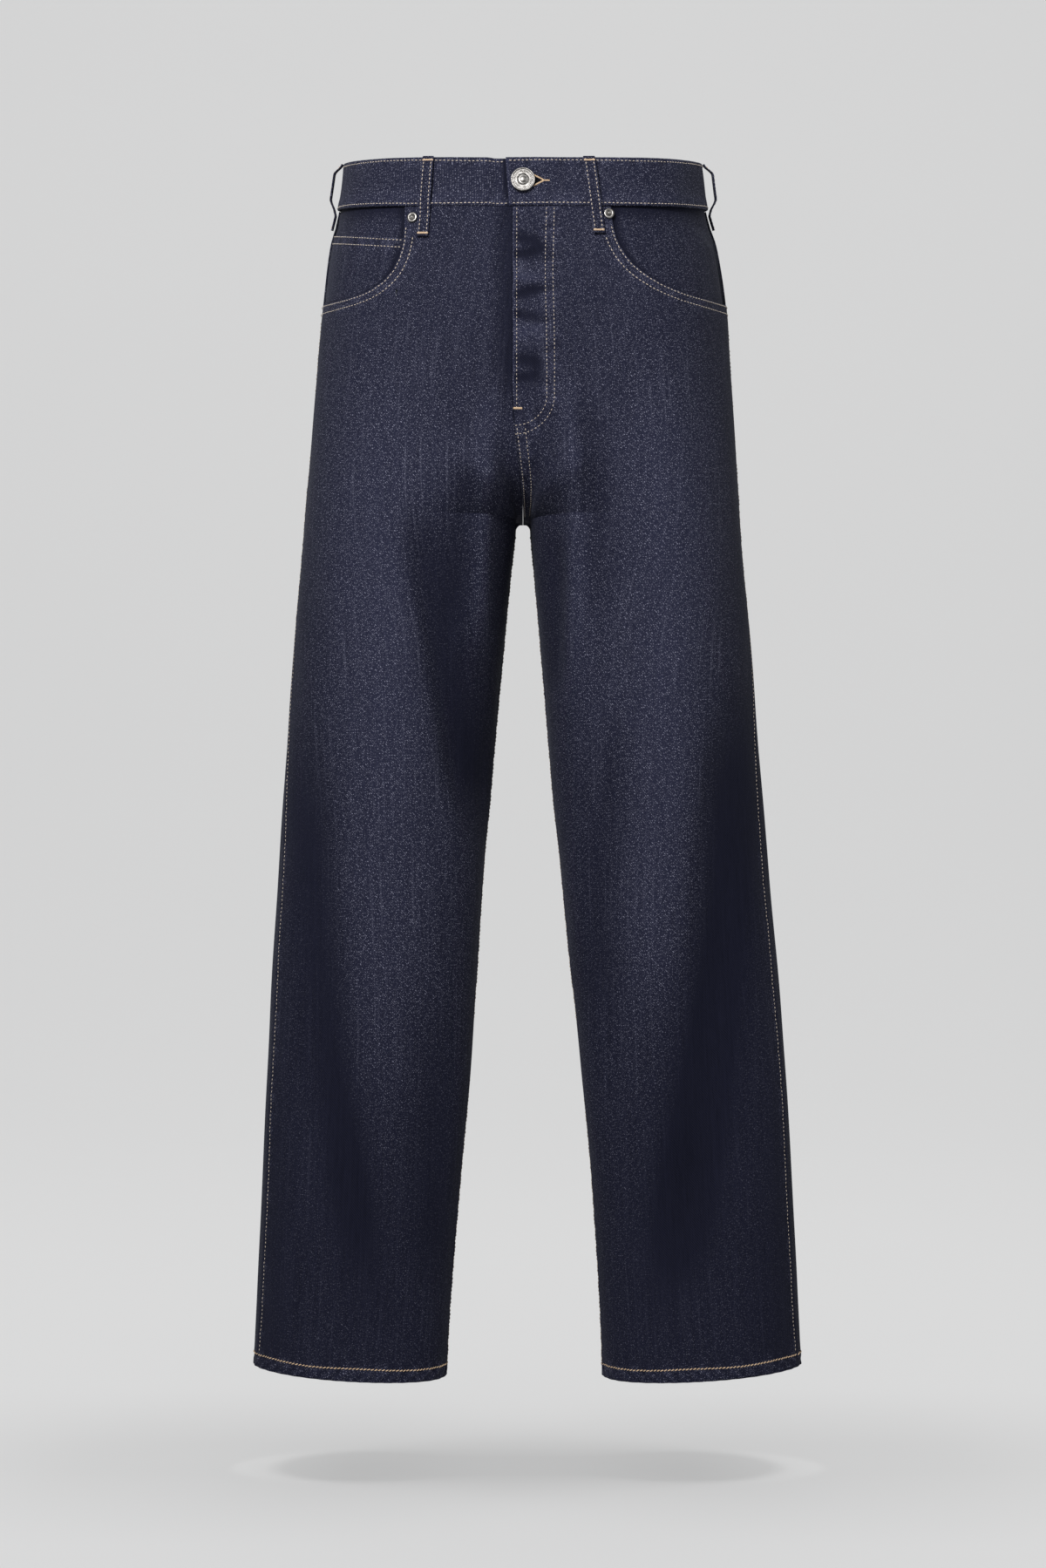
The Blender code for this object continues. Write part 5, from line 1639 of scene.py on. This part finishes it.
    def loop(self, name: str, side: Side) -> bpy.types.Object:
        """A belt loop: a folded strap, tacked at the waistband's top and just below it."""
        low, rise = self.loop_facts(name, side)
        word = "loop_" + name + ("" if name == "back" else "_" + side.word)
        outer = 16
        half = self.loop_cloth / 2
        across, depth = stadium(-self.loop_width / 2, self.loop_width / 2, -half, half, outer, 4)
        level = np.linspace(low, self.loop_top, 60)
        along = across[:, None] + self.loop_middle(name, side, level)[None, :]
        level = level[None, :] + 0 * along
        surface = self.loop_surface(rise)(side, along, level)
        groove = 0.00022 * bell(np.abs(across) - 0.0030, 0.0006)[:, None]
        weave = 0.00012 * np.sin(level / 0.0011 + across[:, None] / 0.0016)
        total = depth[:, None] + surface + (depth > 0)[:, None] * (weave - groove)
        wear_and_shading = 0.20 * bell(np.abs(across) - self.loop_width / 2, 0.0008)[:, None] + 0.05 + 0 * level
        dotted = np.clip(np.sin(level / 0.0013 + 3 * np.sign(across)[:, None]), 0, 1)
        wear_and_shading = wear_and_shading * (depth > -half)[:, None] + 0.15 * dotted * (np.abs(across) > 0.0035)[:, None]
        return self.tailor.strip(word, side, along, level, total, wear_and_shading, ["jeans_waistband"], outer + 7)

    def loops(self) -> list[tuple[str, Side]]:
        """Every belt loop."""
        return [(name, side) for side in Side for name in ("front", "side")] + [("back", Side.LEFT)]

    def loop_lines(self) -> tuple[list[Row], list[Row]]:
        """The two rows down each belt loop, and the bar tacks at its ends."""
        rows, tacks = [], []
        for name, side in self.loops():
            low, rise = self.loop_facts(name, side)
            surface = self.loop_surface(rise)
            level = np.linspace(low + 0.0012, self.loop_top - 0.0012, 40)
            middle = self.loop_middle(name, side, level)
            for gap in (-0.0030, 0.0030):
                rows.append(Row(Layer.LOOP, side, middle + gap, level, surface, pucker=0.0, seed=gap * 1000))
            for at in (low + 0.0026, self.loop_top - 0.0034):
                here = self.loop_middle(name, side, np.array([at]))[0]
                along = here + np.linspace(-0.0043, 0.0043, 10)
                tacks.append(Row(Layer.LOOP, side, along, at + 0 * along, surface, pucker=0.0))
        return rows, tacks


@dataclass
class Hardware:
    """The shank button and the rivets."""

    tailor: Tailor
    button_across: float = 0.0200
    shank_across: float = 0.0060
    rivet_across: float = 0.0086
    rivets: dict = field(default_factory=lambda: {
        Side.RIGHT: (0.0902, -0.0324), Side.LEFT: (0.0700, -0.0292)})

    def turned(self, node: str, outline: Sequence[tuple[float, float]], steps: int, place: Vector,
               facing: Vector) -> bpy.types.Object:
        """A piece turned from an outline.

        Args:
            node: the node that it replaces, which its name ends in.
            outline: radii and heights.
            steps: how many faces go round.
            place: where its foot stands.
            facing: the way that it points.

        Returns:
            The piece.
        """
        name = "jeans_" + node
        data = bmesh.new()
        verts = [data.verts.new((r, 0.0, h)) for r, h in outline]
        edges = [data.edges.new(pair) for pair in zip(verts, verts[1:])]
        bmesh.ops.spin(data, geom=verts + edges, cent=(0, 0, 0), axis=(0, 0, 1), dvec=(0, 0, 0),
                       angle=2 * math.pi, steps=steps, use_merge=True, use_duplicate=False)
        bmesh.ops.remove_doubles(data, verts=data.verts[:], dist=1e-6)
        bmesh.ops.recalc_face_normals(data, faces=data.faces[:])
        turn = facing.to_track_quat("Z", "Y").to_matrix().to_4x4()
        bmesh.ops.transform(data, matrix=Matrix.Translation(place) @ turn, verts=data.verts[:])
        mesh = bpy.data.meshes.new(name)
        data.to_mesh(mesh)
        data.free()
        mesh.shade_smooth()
        mesh.set_sharp_from_angle(angle=math.radians(45))
        mesh.materials.append(self.tailor.finishes.nickel)
        return self.tailor.sign_in(bpy.data.objects.new(name, mesh), "nickel", node)

    def stand(self, side: Side, along: float, level: float, depth: float) -> tuple[Vector, Vector]:
        """A place on the form and the way the cloth faces there."""
        here, normal = self.tailor.form.frame(side, np.array([along]), np.array([level]))
        return Vector(here[0] + normal[0] * depth), Vector(normal[0])

    def button(self) -> None:
        """The button: a foot, a shank and a head with a raised rim, a beaded ring and a boss."""
        place, facing = self.stand(Side.LEFT, 0.0, BUTTON_LEVEL, WAISTBAND_OUT + LAP_DEPTH + 0.0003)
        r, shank, under = self.button_across / 2, self.shank_across / 2, -LAP_DEPTH + 0.0010
        outline = [
            (0.0, 0.0), (shank, 0.0), (shank, under), (0.90 * r, under + 0.0005), (0.97 * r, under + 0.0009),
            (r, under + 0.0014), (r, under + 0.0020), (0.985 * r, under + 0.0025), (0.95 * r, under + 0.0028),
            (0.90 * r, under + 0.0028), (0.86 * r, under + 0.0025), (0.83 * r, under + 0.0022),
            (0.60 * r, under + 0.0022), (0.50 * r, under + 0.0022), (0.47 * r, under + 0.0025),
            (0.43 * r, under + 0.0027), (0.39 * r, under + 0.0025), (0.36 * r, under + 0.0022),
            (0.28 * r, under + 0.0022), (0.22 * r, under + 0.0026), (0.12 * r, under + 0.0029),
            (0.0, under + 0.0030),
        ]
        self.turned("button", outline, 72, place, facing)
        turn = np.array(facing.to_track_quat("Z", "Y").to_matrix()).T
        frames = []
        count = 34
        for i in range(count):
            angle = 2 * math.pi * i / count
            out = math.cos(angle) * turn[0] + math.sin(angle) * turn[1]
            spot = np.array(place) + out * 0.70 * r + turn[2] * (under + 0.0022)
            frames.append(np.stack([out, np.cross(turn[2], out), turn[2], spot]))
        one = bmesh.new()
        bmesh.ops.create_uvsphere(one, u_segments=6, v_segments=4, radius=0.5)
        bmesh.ops.scale(one, vec=(0.0019, 0.0009, 0.0007), verts=one.verts[:])
        self.tailor.copies("jeans_button_beads", one, np.array(frames), self.tailor.finishes.nickel, "nickel")

    def rivet(self, side: Side) -> None:
        """A burr: a dished flange round a nipple."""
        x, level = self.rivets[side]
        along = self.tailor.form.along_at(side, x, np.array([level]))[0]
        place, facing = self.stand(side, along, level, 0.0006)
        r = self.rivet_across / 2
        outline = [
            (0.0, 0.0), (r, 0.0), (r, 0.0004), (0.96 * r, 0.0008), (0.85 * r, 0.0011), (0.66 * r, 0.0011),
            (0.52 * r, 0.0008), (0.42 * r, 0.0003), (0.34 * r, 0.0002), (0.27 * r, 0.0004),
            (0.25 * r, 0.0013), (0.17 * r, 0.0017), (0.0, 0.0019),
        ]
        self.turned("rivet_" + side.word, outline, 40, place, facing)


@dataclass
class Studio:
    """A pale sweep, soft lights and the camera."""

    distance: float = 2.4
    lens: float = 64.45
    eye: float = -0.5126
    floor: float = -1.0976
    sweep_width: float = 24
    sweep_front: float = -9.0
    sweep_depth: float = 11.0
    sweep_curve: float = 2.5
    sweep_height: float = 9.0

    def sweep(self) -> bpy.types.Object:
        """The floor and the wall behind it, joined by a wide curve."""
        data = bmesh.new()
        bmesh.ops.create_grid(data, x_segments=2, y_segments=64, size=0.5)
        for vert in data.verts:
            t = vert.co.y + 0.5
            turn = np.clip((t - 0.4) / 0.3, 0, 1) * math.pi / 2
            y = self.sweep_front + self.sweep_depth * min(t / 0.4, 1.0) + self.sweep_curve * math.sin(turn)
            z = self.floor + self.sweep_curve * (1 - math.cos(turn))
            z = z + max(0.0, t - 0.7) / 0.3 * self.sweep_height
            vert.co = (vert.co.x * self.sweep_width, y, z)
        bmesh.ops.recalc_face_normals(data, faces=data.faces[:])
        mesh = bpy.data.meshes.new("sweep")
        data.to_mesh(mesh)
        data.free()
        mesh.shade_smooth()
        if mesh.polygons[0].normal.z < 0:
            mesh.flip_normals()
        n = Nodes("pale paper")
        at = n.add("ShaderNodeTexCoord").outputs["Object"]
        tone = n.noise(at, 3.0, 2.0)
        n.put(n.shader.inputs["Base Color"], n.blend(tone, rgba((0.396,) * 3), rgba((0.404,) * 3)))
        n.shader.inputs["Roughness"].default_value = 0.95
        n.shader.inputs["Specular IOR Level"].default_value = 0.0
        split = n.add("ShaderNodeSeparateXYZ")
        n.put(split.inputs[0], at)
        rise = n.ramp(split.outputs[2], self.floor, self.floor + 2.2)
        n.put(n.shader.inputs["Emission Color"], n.blend(rise, rgba((0.365,) * 3), rgba((0.395,) * 3)))
        n.shader.inputs["Emission Strength"].default_value = 1.0
        mesh.materials.append(n.material)
        sweep = bpy.data.objects.new("sweep", mesh)
        bpy.context.scene.collection.objects.link(sweep)
        return sweep

    @staticmethod
    def area_light(name: str, place: Vector, target: Vector, size: tuple[float, float], power: float,
                   reached: bpy.types.Collection) -> None:
        """A soft rectangular light.

        Args:
            name: the light's name.
            place: where it hangs.
            target: where it points.
            size: its width and height.
            power: in watts.
            reached: the collection that says what it reaches.
        """
        lamp = bpy.data.lights.new(name, "AREA")
        lamp.shape = "RECTANGLE"
        lamp.size, lamp.size_y = size
        lamp.energy = power
        light = bpy.data.objects.new(name, lamp)
        light.location = place
        light.rotation_euler = (target - place).to_track_quat("-Z", "Y").to_euler()
        bpy.context.scene.collection.objects.link(light)
        light.light_linking.receiver_collection = reached

    def light(self, sweep: bpy.types.Object) -> None:
        """The lights: two that leave out the sweep, two that reach only the sweep, and a glow."""
        unlit = bpy.data.collections.new("left out of the lights")
        unlit.objects.link(sweep)
        unlit.collection_objects[0].light_linking.link_state = "EXCLUDE"
        self.area_light("key", Vector((-0.75, -2.2, 0.95)), Vector((0, 0, -0.35)), (0.7, 0.7), 112, unlit)
        self.area_light("fill", Vector((2.1, -1.5, 0.2)), Vector((0, 0, -0.5)), (1.0, 1.6), 13, unlit)
        alone = bpy.data.collections.new("lit from above")
        alone.objects.link(sweep)
        for x in (-1.2, 1.2):
            self.area_light("top", Vector((x, -0.1, 4.0)), Vector((0, 0, -1)), (1.0, 1.0), 56, alone)
        world = bpy.data.worlds.new("studio")
        world.use_nodes = True
        glow = world.node_tree.nodes["Background"]
        glow.inputs["Color"].default_value = (0.98, 0.99, 1.0, 1.0)
        glow.inputs["Strength"].default_value = 0.42
        bpy.context.scene.world = world
        bpy.context.scene.view_settings.view_transform = "Standard"
        bpy.context.scene.view_settings.look = "None"

    def camera(self) -> None:
        """The camera, level, half way down the jeans."""
        lens = bpy.data.cameras.new("camera")
        lens.sensor_width = 36.0
        lens.lens = self.lens
        lens.clip_end = 60.0
        camera = bpy.data.objects.new("camera", lens)
        camera.location = (0.0, -self.distance, self.eye)
        camera.rotation_euler = (math.pi / 2, 0.0, 0.0)
        bpy.context.scene.collection.objects.link(camera)
        bpy.context.scene.camera = camera


def main() -> None:
    """Builds everything in order."""
    logging.basicConfig(level=logging.INFO, format="%(name)s %(message)s")
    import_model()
    studio = Studio()
    studio.camera()
    studio.light(studio.sweep())
    finishes = Finishes()
    tailor = Tailor(Form(), finishes)
    panels = Panels(tailor)
    pockets, waist, hardware = Pockets(tailor, panels), Waist(tailor), Hardware(tailor)
    lines = panels.lines()
    lines["coin"] = pockets.coin_lines()
    for side in Side:
        lines["patch_" + side.word] = pockets.patch_lines(side)
    lines["waist"] = waist.band_lines()
    lines["loops"], loop_tacks = waist.loop_lines()
    tailor.rows = [row for rows in lines.values() for row in rows]
    for side in Side:
        panels.front(side)
        panels.back(side)
        panels.yoke(side)
        panels.hem(side)
        pockets.facing(side)
        pockets.patch(side)
        hardware.rivet(side)
    pockets.coin()
    waist.underlap()
    waist.band()
    for name, side in waist.loops():
        waist.loop(name, side)
    hardware.button()
    for name, rows in lines.items():
        if name.startswith("hem"):
            tailor.sew("stitches_" + name, rows, finishes.tan, pitch=0.0031, length=0.0031, width=0.0010,
                       slant=0.42)
        else:
            fine = name.startswith("outseam") or name == "fly"
            tailor.sew("stitches_" + name, rows, finishes.ecru, width=0.00058 if fine else 0.00072,
                       length=0.0018 if fine else 0.0021)
    tailor.tack("tacks_loops", loop_tacks, finishes.tan)
    tailor.tack("tack_fly", [panels.fly_tack()], finishes.tan)
    tailor.tack("cord_buttonhole", waist.hole_lines(), finishes.tan, reach=0.0014)


if __name__ == "__main__":
    main()
